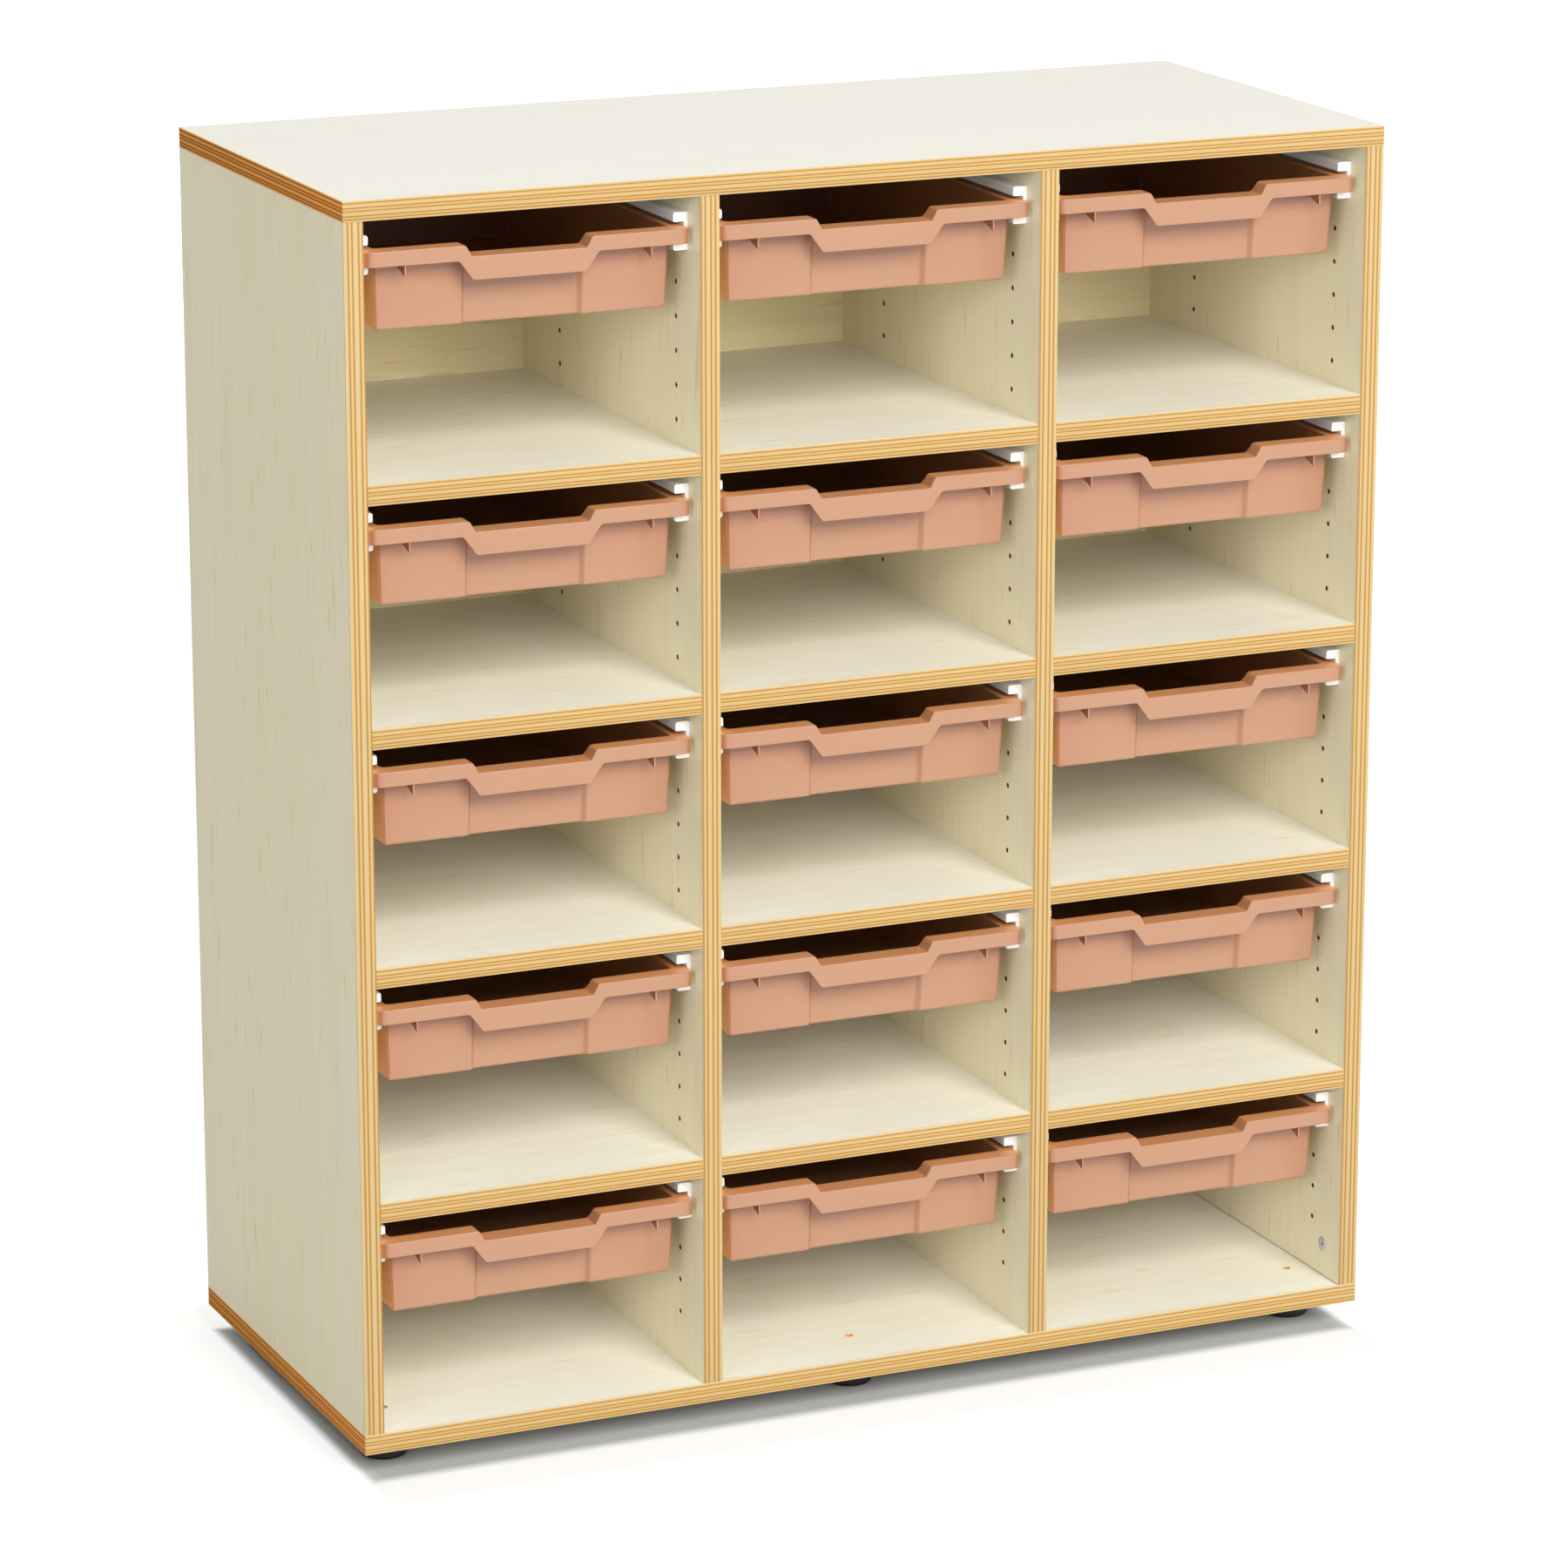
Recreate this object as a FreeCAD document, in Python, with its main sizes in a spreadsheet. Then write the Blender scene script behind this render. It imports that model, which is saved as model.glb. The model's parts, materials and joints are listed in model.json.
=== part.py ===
import FreeCAD, Part
import os
import Sketcher

# Classroom tray storage unit: three columns of five bays, each bay with one shallow tray
# that slides on a pair of channel runners. Millimetres. The origin is on the floor, below the
# centre of the carcass. X runs to the right, Y to the back and Z up; the trays open along -Y.

SIZES = {
    # carcass
    "unit_width": (1040.0, "overall width"),
    "unit_depth": (450.0, "overall depth"),
    "board": (19.0, "thickness of every carcass board"),
    "edging": (2.0, "thickness of the edge strips"),
    "lower_bay": (205.0, "clear height of the four lower bays"),
    "top_bay": (237.0, "clear height of the top bay"),
    "foot_height": (26.0, "floor to the underside of the carcass"),
    "housing": (4.0, "depth of the housings that hold shelves and dividers"),
    "glue_gap": (0.1, "gap at the end of a board in its housing"),
    "back_board": (6.0, "thickness of the back panel"),
    "back_groove": (7.0, "depth of the groove round the back panel"),
    "back_play": (0.1, "gap between the back panel and its groove"),
    "back_inset": (4.8, "rear of the unit to the groove"),
    # rows of shelf and runner holes
    "hole_setback": (57.0, "unit front to the front row of holes"),
    "hole_row_gap": (286.0, "front row to rear row of holes"),
    "hole_pitch": (32.0, "spacing of the holes in a row"),
    "hole_rise": (22.4, "floor of a bay to its lowest hole"),
    "hole_dia": (5.0, "diameter of the shelf and runner holes"),
    "hole_depth": (11.0, "depth of the holes in the side panels"),
    # runners
    "runner_setback": (28.0, "unit front to the front end of the runners"),
    "runner_rear_gap": (11.0, "rear end of the runners to the back panel"),
    "runner_reach": (14.5, "depth of the channel section, from the board"),
    "runner_web": (4.15, "thickness of the channel's web"),
    "runner_lip": (9.0, "height of each lip of the channel"),
    "rim_headroom": (3.0, "top of a tray's rim to the upper lip"),
    "slide_play": (0.2, "underside of a tray's rim to the lower lip"),
    "side_play": (0.5, "edge of a tray's rim to the web, each side"),
    "peg_length": (8.0, "length of the pegs on a runner"),
    "peg_play": (0.05, "radial gap round a peg"),
    # trays
    "tray_height": (75.0, "rim to the underside of the floor"),
    "tray_wall": (2.0, "wall of the moulding"),
    "tray_draft": (3.4, "slope of the walls in degrees"),
    "top_tray_drop": (30.0, "ceiling of the top bay to the rim"),
    "tray_drop": (24.5, "ceiling of a lower bay to the rim"),
    "tray_rear_gap": (2.5, "rear rim of a tray to the back panel"),
    "lip_setback": (9.5, "unit front to the front lip"),
    "lip_corner": (5.0, "front corners of the rim"),
    "rim_height": (14.0, "height of the turned-down rim"),
    "front_flange": (17.7, "front lip to the front wall"),
    "side_flange": (12.8, "edge of the rim to the side and rear walls"),
    "well_corner": (4.0, "upright corners of the well"),
    "recess_half": (56.0, "half width of the recess in the front wall"),
    "recess_depth": (4.0, "depth of the recess in the front wall"),
    "dip_half": (55.3, "half width of the dip's floor"),
    "dip_slant": (6.3, "run of the dip's sloping ends"),
    "dip_drop": (10.0, "depth of the dip in the front rim"),
    "pull_half": (54.0, "half width of the pull's lower edge"),
    "pull_slant": (13.0, "run of the pull's sloping ends"),
    "pull_drop": (17.7, "rim to the lower edge of the pull"),
    "tab_offset": (118.0, "centre of the tray to a label tab"),
    "tab_drop": (10.4, "height of a label tab below the rim"),
    # levelling feet
    "foot_inset": (42.0, "end of the unit to the outer feet"),
    "foot_setback": (66.0, "front and rear of the unit to the feet"),
    "pad_dia": (44.0, "diameter of a foot's pad"),
    "pad_height": (11.0, "height of a foot's pad"),
    "boss_dia": (20.0, "hexagon above the pad, over its corners"),
    "boss_height": (6.0, "height of the hexagon above the pad"),
    "stud_dia": (8.0, "diameter of the stud"),
    "stud_engaged": (8.5, "length of stud above the carcass underside"),
    "stud_play": (0.05, "radial gap between stud and socket"),
    "socket_dia": (13.0, "sleeve of the foot socket"),
    "socket_depth": (12.0, "sleeve inside the bottom panel"),
    "socket_play": (0.05, "gap round the sleeve in the panel"),
    "socket_flange_dia": (28.0, "flange of the foot socket"),
    "socket_flange": (3.0, "thickness of the flange"),
    "access_dia": (8.5, "hole above a foot for its hexagon key"),
    # cam fittings that draw the side panels to the top and bottom
    "cam_dia": (15.0, "diameter of a cam"),
    "cam_depth": (12.5, "depth of a cam in the side panel"),
    "cam_rise": (32.1, "end of the side panel to a cam"),
    "cam_setback": (35.0, "front and rear of the unit to the cams"),
    "cam_play": (0.1, "gap round cams and their bolts"),
    "bolt_dia": (6.0, "diameter of a cam bolt"),
    "bolt_grip": (10.0, "length of a cam bolt in the top or bottom panel"),
}

COLUMNS = ("left", "middle", "right")
LEVELS = (1, 2, 3, 4, 5)
HOLE_STEPS = {1: (1, 2, 3), 2: (0, 1, 2, 3), 3: (0, 1, 2, 3), 4: (0, 1, 2, 3), 5: (0, 1, 2, 3, 4)}
DRILL_SIDES = 6
FITTING_SIDES = 8
PAD_SIDES = 16

doc = FreeCAD.newDocument("tray_storage_unit")
parts = []


# ---------------------------------------------------------------- sheet and expressions

def make_sheet():
    table = doc.addObject("Spreadsheet::Sheet", "Sizes")
    for row, (alias, (value, meaning)) in enumerate(SIZES.items(), start=1):
        table.set(f"A{row}", alias)
        table.set(f"B{row}", str(value))
        table.set(f"C{row}", meaning)
        table.setAlias(f"B{row}", alias)
    doc.recompute()
    return table


def size(expression):
    """Write the sheet's name before each alias in an expression."""
    words = []
    word = ""
    for letter in expression + " ":
        if letter.isalnum() or letter in "_.":
            word += letter
            continue
        words.append("Sizes." + word if word in SIZES else word)
        words.append(letter)
        word = ""
    return "".join(words).strip()


def number(expression):
    return float(sheet.evalExpression(size(expression)))


def bind(item, **sizes):
    for name, expression in sizes.items():
        item.setExpression(name, size(expression))


def place(item, x, y, z):
    item.setExpression("Placement.Base.x", size(x))
    item.setExpression("Placement.Base.y", size(y))
    item.setExpression("Placement.Base.z", size(z))


def turned(item, axis, degrees):
    item.Placement = FreeCAD.Placement(FreeCAD.Vector(), FreeCAD.Rotation(axis, degrees))
    return item


sheet = make_sheet()
Y_AXIS = FreeCAD.Vector(0, 1, 0)

# Places that several parts share, as expressions.
LEFT = "(-unit_width / 2)"
RIGHT = "(unit_width / 2)"
FRONT = "(-unit_depth / 2)"
REAR = "(unit_depth / 2)"
CORE_FRONT = f"({FRONT} + edging)"
CORE_REAR = f"({REAR} - edging)"
UNDERSIDE = "foot_height"
FLOOR = "(foot_height + board)"
CEILING = "(foot_height + board + 4 * (lower_bay + board) + top_bay)"
BAY_WIDTH = "((unit_width - 4 * board) / 3)"
BACK_FACE = f"({REAR} - back_inset - back_board - 2 * back_play)"
TRAY_DEPTH = f"({BACK_FACE} - tray_rear_gap - lip_setback - {FRONT})"
RUNNER_LENGTH = f"({BACK_FACE} - runner_rear_gap - runner_setback - {FRONT})"
RUNNER_HEIGHT = "(2 * runner_lip + rim_height + slide_play + rim_headroom)"
RIM_HALF = f"({BAY_WIDTH} / 2 - runner_web - side_play)"


def upright(index):
    """Left face of side panel or divider number 0 to 3."""
    return f"({LEFT} + {index} * ({BAY_WIDTH} + board))"


def bay_floor(level):
    return f"({FLOOR} + {level - 1} * (lower_bay + board))"


def bay_ceiling(level):
    return f"({bay_floor(level)} + {'top_bay' if level == 5 else 'lower_bay'})"


def rim_top(level):
    return f"({bay_ceiling(level)} - {'top_tray_drop' if level == 5 else 'tray_drop'})"


def runner_bottom(level):
    return f"({rim_top(level)} - rim_height - slide_play - runner_lip)"


def peg_level(level):
    return f"({runner_bottom(level)} + {RUNNER_HEIGHT} / 2)"


def hole_rows():
    return f"({FRONT} + hole_setback)", f"({FRONT} + hole_setback + hole_row_gap)"


def hole_levels():
    """Heights of the open holes, then of the holes that take the runners' pegs."""
    levels = []
    for level in LEVELS:
        for step in HOLE_STEPS[level]:
            levels.append(f"({bay_floor(level)} + hole_rise + {step} * hole_pitch)")
    return levels + [peg_level(level) for level in LEVELS]


# ---------------------------------------------------------------- solids

def box(name, x, y, z):
    """A box between the low and high ends of three spans."""
    item = doc.addObject("Part::Box", name)
    bind(item, Length=f"{x[1]} - ({x[0]})", Width=f"{y[1]} - ({y[0]})", Height=f"{z[1]} - ({z[0]})")
    place(item, x[0], y[0], z[0])
    return item


def rod(name, sides, diameter, length, x, y, z, along="z"):
    """A faceted round bar or drill that starts at a point and runs along +x or +z."""
    item = doc.addObject("Part::Prism", name)
    item.Polygon = sides
    bind(item, Circumradius=f"{diameter} / 2", Height=length)
    if along == "x":
        turned(item, Y_AXIS, 90)
    place(item, x, y, z)
    return item


def compound(name, members):
    item = doc.addObject("Part::Compound", name)
    item.Links = members
    return item


def cut(name, base, *groups):
    """Take groups of tools away in turn. The tools of one group don't touch each other."""
    for count, tools in enumerate(groups, start=1):
        item = doc.addObject("Part::Cut", f"{name}_cut_{count}")
        item.Base = base
        item.Tool = compound(f"{name}_tools_{count}", tools)
        base = item
    return base


def fuse(name, members):
    item = doc.addObject("Part::MultiFuse", name)
    item.Shapes = members
    item.Refine = True
    return item


def copy_at(name, source, x, y, z):
    """One more of a repeated part, at its own place."""
    item = compound(name, [source])
    place(item, x, y, z)
    return item


def part(item, label):
    item.Label = label
    parts.append(item)
    return item


# ---------------------------------------------------------------- sketches

def plane_of(body, role):
    return next(plane for plane in body.Origin.OriginFeatures if plane.Role == role)


def outline(body, name, role, loops, offset=None):
    """A sketch of closed straight-sided loops, each corner held by two expressions."""
    sketch = body.newObject("Sketcher::SketchObject", name)
    sketch.AttachmentSupport = [(plane_of(body, role), "")]
    sketch.MapMode = "FlatFace"
    if offset:
        sketch.setExpression("AttachmentOffset.Base.z", size(offset))
    for corners in loops:
        add_loop(sketch, corners)
    return sketch


def add_loop(sketch, corners):
    points = [FreeCAD.Vector(number(u), number(v), 0) for u, v in corners]
    first = sketch.GeometryCount
    count = len(points)
    for index, point in enumerate(points):
        sketch.addGeometry(Part.LineSegment(point, points[(index + 1) % count]), False)
    for index, (u, v) in enumerate(corners):
        line = first + index
        following = first + (index + 1) % count
        sketch.addConstraint(Sketcher.Constraint("Coincident", line, 2, following, 1))
        hold(sketch, line, "DistanceX", u, points[index].x)
        hold(sketch, line, "DistanceY", v, points[index].y)


def hold(sketch, line, kind, expression, value):
    """Tie the start of a line to the origin by an expression."""
    count = sketch.addConstraint(Sketcher.Constraint(kind, -1, 1, line, 1, value))
    sketch.setExpression(f"Constraints[{count}]", size(expression))


def pad(body, name, sketch, length, reverse=False, both=False):
    item = body.newObject("PartDesign::Pad", name)
    item.Profile = sketch
    item.Reversed = reverse
    item.Midplane = both
    bind(item, Length=length)
    return item


def pocket(body, name, sketch, length):
    item = body.newObject("PartDesign::Pocket", name)
    item.Profile = sketch
    bind(item, Length=length)
    return item


# ---------------------------------------------------------------- carcass

def make_top_and_bottom():
    for name, z, inner in (("top_panel", CEILING, CEILING), ("bottom_panel", UNDERSIDE, FLOOR)):
        core = box(name + "_core", (f"{LEFT} + edging", f"{RIGHT} - edging"),
                   (CORE_FRONT, CORE_REAR), (z, f"{z} + board"))
        inward = 1 if name == "top_panel" else -1
        groups = [divider_housings(name, inner, inward) + bolt_bores(name, inner, inward),
                  [back_slot(name, inner, inward)]]
        if name == "bottom_panel":
            groups += [foot_seats(), access_holes()]
        part(cut(name, core, *groups), name)


def span_from(face, inward, depth):
    """A span along Z that goes into a board from its inner face."""
    return (face, f"{face} + {depth}") if inward > 0 else (f"{face} - {depth}", face)


def divider_housings(name, face, inward):
    tools = []
    for index in (1, 2):
        tools.append(box(f"{name}_housing_{index}", (upright(index), f"{upright(index)} + board"),
                         (CORE_FRONT, BACK_FACE), span_from(face, inward, "housing")))
    return tools


def back_slot(name, face, inward):
    return box(name + "_back_slot", (f"{LEFT} + board - back_groove", f"{RIGHT} - board + back_groove"),
               (BACK_FACE, f"{BACK_FACE} + back_board + 2 * back_play"),
               span_from(face, inward, "back_groove"))


def cam_places():
    """Centre of each cam bolt, seen from above, and the side it draws."""
    for side, middle in (("left", f"{LEFT} + board / 2"), ("right", f"{RIGHT} - board / 2")):
        for end, y in (("front", f"{FRONT} + cam_setback"), ("rear", f"{BACK_FACE} - cam_setback")):
            yield side, end, middle, y


def bolt_bores(name, face, inward):
    tools = []
    for side, end, x, y in cam_places():
        low = span_from(face, inward, "(bolt_grip + cam_play)")[0]
        tools.append(rod(f"{name}_bore_{side}_{end}", DRILL_SIDES, "(bolt_dia + 2 * cam_play)",
                         "bolt_grip + cam_play", x, y, low))
    return tools


def foot_places():
    across = (("left", f"{LEFT} + foot_inset"), ("middle", "0"), ("right", f"{RIGHT} - foot_inset"))
    for end, y in (("front", f"{FRONT} + foot_setback"), ("rear", f"{REAR} - foot_setback")):
        for side, x in across:
            yield f"{end}_{side}", x, y


def foot_seats():
    return [rod("seat_" + name, FITTING_SIDES, "socket_dia", "socket_depth", x, y, UNDERSIDE)
            for name, x, y in foot_places()]


def access_holes():
    return [rod("access_" + name, DRILL_SIDES, "access_dia", "board", x, y, UNDERSIDE)
            for name, x, y in foot_places()]


def shelf_housings(name, low_x, high_x):
    tools = []
    for level in LEVELS[:4]:
        z = bay_ceiling(level)
        tools.append(box(f"{name}_housing_{level}", (low_x, high_x), (CORE_FRONT, BACK_FACE),
                         (z, f"{z} + board")))
    return tools


def drillings(name, x, depth):
    tools = []
    for row, y in enumerate(hole_rows()):
        for step, z in enumerate(hole_levels()):
            tools.append(rod(f"{name}_hole_{row}_{step}", DRILL_SIDES, "hole_dia", depth, x, y, z, "x"))
    return tools


def make_side_panels():
    """Side panels, housed for shelves, drilled for pegs and cams, and grooved for the back."""
    for name, index, inward in (("left_side_panel", 0, 1), ("right_side_panel", 3, -1)):
        low = upright(index)
        inner = f"({low} + board)" if inward > 0 else low
        core = box(name + "_core", (low, f"{low} + board"), (CORE_FRONT, CORE_REAR), (FLOOR, CEILING))
        into = (f"{inner} - housing", inner) if inward > 0 else (inner, f"{inner} + housing")
        start = f"{inner} - hole_depth" if inward > 0 else inner
        slot = (f"{inner} - back_groove", inner) if inward > 0 else (inner, f"{inner} + back_groove")
        groove = box(name + "_back_slot", slot,
                     (BACK_FACE, f"{BACK_FACE} + back_board + 2 * back_play"), (FLOOR, CEILING))
        part(cut(name, core, shelf_housings(name, *into) + drillings(name, start, "hole_depth"),
                 cam_seats(name, inner, inward), bolt_holes(name), [groove]), name)


def cam_levels():
    return (("lower", f"{FLOOR} + cam_rise"), ("upper", f"{CEILING} - cam_rise"))


def cam_seats(name, inner, inward):
    start = f"{inner} - cam_depth" if inward > 0 else inner
    tools = []
    for side, end, x, y in cam_places():
        for row, z in cam_levels():
            if name.startswith(side):
                tools.append(rod(f"{name}_seat_{end}_{row}", FITTING_SIDES, "(cam_dia + 2 * cam_play)",
                                 "cam_depth", start, y, z, "x"))
    return tools


def bolt_holes(name):
    """Bores along a side panel, from its ends to the cams."""
    tools = []
    for side, end, x, y in cam_places():
        for row, low in (("lower", FLOOR), ("upper", f"{CEILING} - cam_rise")):
            if name.startswith(side):
                tools.append(rod(f"{name}_bolt_{end}_{row}", DRILL_SIDES, "(bolt_dia + 2 * cam_play)",
                                 "cam_rise", x, y, low))
    return tools


def make_cams():
    cams = []
    bolts = []
    for side, end, x, y in cam_places():
        start = f"{upright(0)} + board - cam_depth" if side == "left" else upright(3)
        for row, z in cam_levels():
            cams.append(rod(f"cam_{side}_{end}_{row}", FITTING_SIDES, "cam_dia", "cam_depth",
                            start, y, z, "x"))
            reach = "(cam_rise - cam_dia / 2 - cam_play)"
            low = f"{FLOOR} - bolt_grip" if row == "lower" else f"{CEILING} - {reach}"
            bolts.append(rod(f"cam_bolt_{side}_{end}_{row}", DRILL_SIDES, "bolt_dia",
                             f"bolt_grip + {reach}", x, y, low))
    part(compound("cams", cams), "cam_locks")
    part(compound("bolts", bolts), "cam_bolts")


def make_dividers():
    for name, index in (("left_divider", 1), ("right_divider", 2)):
        low = upright(index)
        high = f"({low} + board)"
        core = box(name + "_core", (low, high), (CORE_FRONT, BACK_FACE),
                   (f"{FLOOR} - housing + glue_gap", f"{CEILING} + housing - glue_gap"))
        part(cut(name, core, shelf_housings(name + "_left", low, f"{low} + housing"),
                 shelf_housings(name + "_right", f"{high} - housing", high),
                 drillings(name, low, "board")), name)


def make_shelves():
    for column, side in enumerate(COLUMNS):
        x = (f"{upright(column)} + board - housing + glue_gap",
             f"{upright(column + 1)} + housing - glue_gap")
        for level in LEVELS[:4]:
            z = bay_ceiling(level)
            name = f"{side}_shelf_{level}"
            part(box(name, x, (CORE_FRONT, BACK_FACE), (z, f"{z} + board")), name)


def make_back():
    inset = "(back_groove - back_play)"
    part(box("back_panel", (f"{LEFT} + board - {inset}", f"{RIGHT} - board + {inset}"),
             (f"{BACK_FACE} + back_play", f"{BACK_FACE} + back_play + back_board"),
             (f"{FLOOR} - {inset}", f"{CEILING} + {inset}")), "back_panel")


# ---------------------------------------------------------------- edging

def ring_edging(name, z):
    """Strips round all four edges of the top or bottom panel."""
    height = (z, f"{z} + board")
    strips = [
        box(name + "_front", (LEFT, RIGHT), (FRONT, CORE_FRONT), height),
        box(name + "_rear", (LEFT, RIGHT), (CORE_REAR, REAR), height),
        box(name + "_left", (LEFT, f"{LEFT} + edging"), (CORE_FRONT, CORE_REAR), height),
        box(name + "_right", (f"{RIGHT} - edging", RIGHT), (CORE_FRONT, CORE_REAR), height),
    ]
    part(compound(name + "_strips", strips), name)


def make_edging():
    ring_edging("top_edging", CEILING)
    ring_edging("bottom_edging", UNDERSIDE)
    sides = []
    dividers = []
    for index in range(4):
        width = (upright(index), f"{upright(index)} + board")
        front = box(f"upright_strip_{index}", width, (FRONT, CORE_FRONT), (FLOOR, CEILING))
        if index in (1, 2):
            dividers.append(front)
            continue
        sides.append(front)
        sides.append(box(f"rear_strip_{index}", width, (CORE_REAR, REAR), (FLOOR, CEILING)))
    part(compound("side_strips", sides), "side_edging")
    part(compound("divider_strips", dividers), "divider_edging")
    shelves = []
    for column, side in enumerate(COLUMNS):
        width = (f"{upright(column)} + board", upright(column + 1))
        for level in LEVELS[:4]:
            z = bay_ceiling(level)
            shelves.append(box(f"{side}_shelf_strip_{level}", width, (FRONT, CORE_FRONT),
                               (z, f"{z} + board")))
    part(compound("shelf_strips", shelves), "shelf_edging")


# ---------------------------------------------------------------- runners

def runner_master(name, facing):
    """A channel moulding with two pegs. facing is 1 where the channel opens towards +X."""
    body = doc.addObject("PartDesign::Body", name + "_channel")
    sign = "" if facing > 0 else "-"
    web = sign + "runner_web"
    reach = sign + "runner_reach"
    upper = f"{RUNNER_HEIGHT} - runner_lip"
    corners = [("0", "0"), (reach, "0"), (reach, "runner_lip"), (web, "runner_lip"),
               (web, upper), (reach, upper), (reach, RUNNER_HEIGHT), ("0", RUNNER_HEIGHT)]
    section = outline(body, name + "_section", "XZ_Plane", [corners])
    pad(body, name + "_length", section, RUNNER_LENGTH, reverse=True)
    start = "-peg_length" if facing > 0 else "0"
    first = "hole_setback - runner_setback"
    pegs = []
    for row, y in enumerate((first, f"{first} + hole_row_gap")):
        pegs.append(rod(f"{name}_peg_{row}", DRILL_SIDES, "(hole_dia - 2 * peg_play)", "peg_length",
                        start, y, f"{RUNNER_HEIGHT} / 2", "x"))
    return fuse(name, [body] + pegs)


def make_runners():
    masters = {"left": runner_master("runner_on_left", 1), "right": runner_master("runner_on_right", -1)}
    for column, column_side in enumerate(COLUMNS):
        walls = {"left": f"{upright(column)} + board", "right": upright(column + 1)}
        for side, x in walls.items():
            name = f"{column_side}_column_{side}_runners"
            copies = []
            for level in LEVELS:
                copies.append(copy_at(f"{name}_{level}", masters[side], x, f"{FRONT} + runner_setback",
                                      runner_bottom(level)))
            part(compound(name, copies), name)


# ---------------------------------------------------------------- trays

def mirrored_loop(half):
    """A whole outline from the corners of its right half, listed from front to back."""
    flipped = [(f"-({x})", y) for x, y in reversed(half)]
    return half + flipped


def well_outline(inset):
    """The well at rim level, narrower by an inset: front recess, walls and cut corners."""
    slope = f"({inset}) * tan(22.5 deg)"
    front = f"front_flange + ({inset})"
    half_width = f"{RIM_HALF} - side_flange - ({inset})"
    rear = f"{TRAY_DEPTH} - side_flange - ({inset})"
    corner = f"(well_corner - {slope})"
    half = [
        (f"recess_half - recess_depth / 2 - {slope}", f"{front} + recess_depth"),
        (f"recess_half + recess_depth / 2 - {slope}", front),
        (f"{half_width} - {corner}", front),
        (half_width, f"{front} + {corner}"),
        (half_width, f"{rear} - {corner}"),
        (f"{half_width} - {corner}", rear),
    ]
    return mirrored_loop(half)


def rim_outline(inset):
    """The rim, with cut corners."""
    slope = f"({inset}) * tan(22.5 deg)"
    side = f"{RIM_HALF} - ({inset})"
    rear = f"{TRAY_DEPTH} - ({inset})"
    front_corner = f"(lip_corner - {slope})"
    rear_corner = f"(well_corner - {slope})"
    half = [
        (f"{side} - {front_corner}", inset),
        (side, f"{inset} + {front_corner}"),
        (side, f"{rear} - {rear_corner}"),
        (f"{side} - {rear_corner}", rear),
    ]
    return mirrored_loop(half)


def tray_master():
    """The tray: a drafted shell, its flange and turned-down rim, the dip with its pull, and tabs."""
    body = doc.addObject("PartDesign::Body", "tray")
    well = outline(body, "well", "XY_Plane", [well_outline("0")])
    block = pad(body, "well_block", well, "tray_height", reverse=True)
    drafted = draft(body, "well_draft", block)
    shell(body, "well_shell", drafted)
    flange = outline(body, "flange", "XY_Plane", [rim_outline("0"), well_outline("tray_wall / 2")])
    pad(body, "flange_plate", flange, "tray_wall", reverse=True)
    lip = outline(body, "lip", "XY_Plane", [rim_outline("0"), rim_outline("tray_wall")])
    pad(body, "turned_rim", lip, "rim_height", reverse=True)
    cut_dip(body)
    add_pull(body)
    add_tabs(body)
    return body


def faces_where(item, test):
    """Names of the faces of a feature whose normal passes a test."""
    doc.recompute()
    return [f"Face{count}" for count, face in enumerate(item.Shape.Faces, start=1)
            if test(face.normalAt(0, 0))]


def draft(body, name, block):
    """Slope the block's upright faces in, from the rim down."""
    item = body.newObject("PartDesign::Draft", name)
    item.Base = (block, faces_where(block, lambda normal: abs(normal.z) < 0.5))
    item.NeutralPlane = (plane_of(body, "XY_Plane"), [""])
    item.Reversed = True
    bind(item, Angle="tray_draft")
    return item


def shell(body, name, block):
    """Hollow the block from its open top to a wall of even thickness."""
    item = body.newObject("PartDesign::Thickness", name)
    item.Base = (block, faces_where(block, lambda normal: normal.z > 0.5))
    item.Join = "Intersection"
    item.Reversed = True
    bind(item, Value="tray_wall")
    return item


def cut_dip(body):
    """The dip lowers the middle of the front flange as far back as the recessed wall."""
    spread = "(dip_slant * (dip_drop + tray_wall) / dip_drop)"
    corners = [("-dip_half", "-dip_drop"), ("dip_half", "-dip_drop"),
               (f"dip_half + {spread}", "tray_wall"), (f"-dip_half - {spread}", "tray_wall")]
    sketch = outline(body, "dip", "XZ_Plane", [corners])
    pocket(body, "dip_cut", sketch, "front_flange + recess_depth + 2 * tray_wall")


def add_pull(body):
    """The pull: a bent flange along the dip and a deeper front lip below it."""
    band = [
        ("dip_half + dip_slant", "0"), ("dip_half", "-dip_drop"),
        ("-dip_half", "-dip_drop"), ("-dip_half - dip_slant", "0"),
        ("-dip_half - dip_slant - tray_wall", "0"), ("-dip_half - tray_wall", "-dip_drop - tray_wall"),
        ("dip_half + tray_wall", "-dip_drop - tray_wall"), ("dip_half + dip_slant + tray_wall", "0"),
    ]
    sketch = outline(body, "dip_band", "XZ_Plane", [band])
    pad(body, "dip_flange", sketch, "front_flange + recess_depth + tray_wall / 2", reverse=True)
    top = "-dip_drop - tray_wall / 2"
    face = [("-pull_half - pull_slant", "-rim_height"), ("-pull_half", "-rim_height - pull_drop"),
            ("pull_half", "-rim_height - pull_drop"), ("pull_half + pull_slant", "-rim_height"),
            ("dip_half", top), ("-dip_half", top)]
    sketch = outline(body, "pull_face", "XZ_Plane", [face])
    pad(body, "pull", sketch, "tray_wall", reverse=True)


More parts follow.
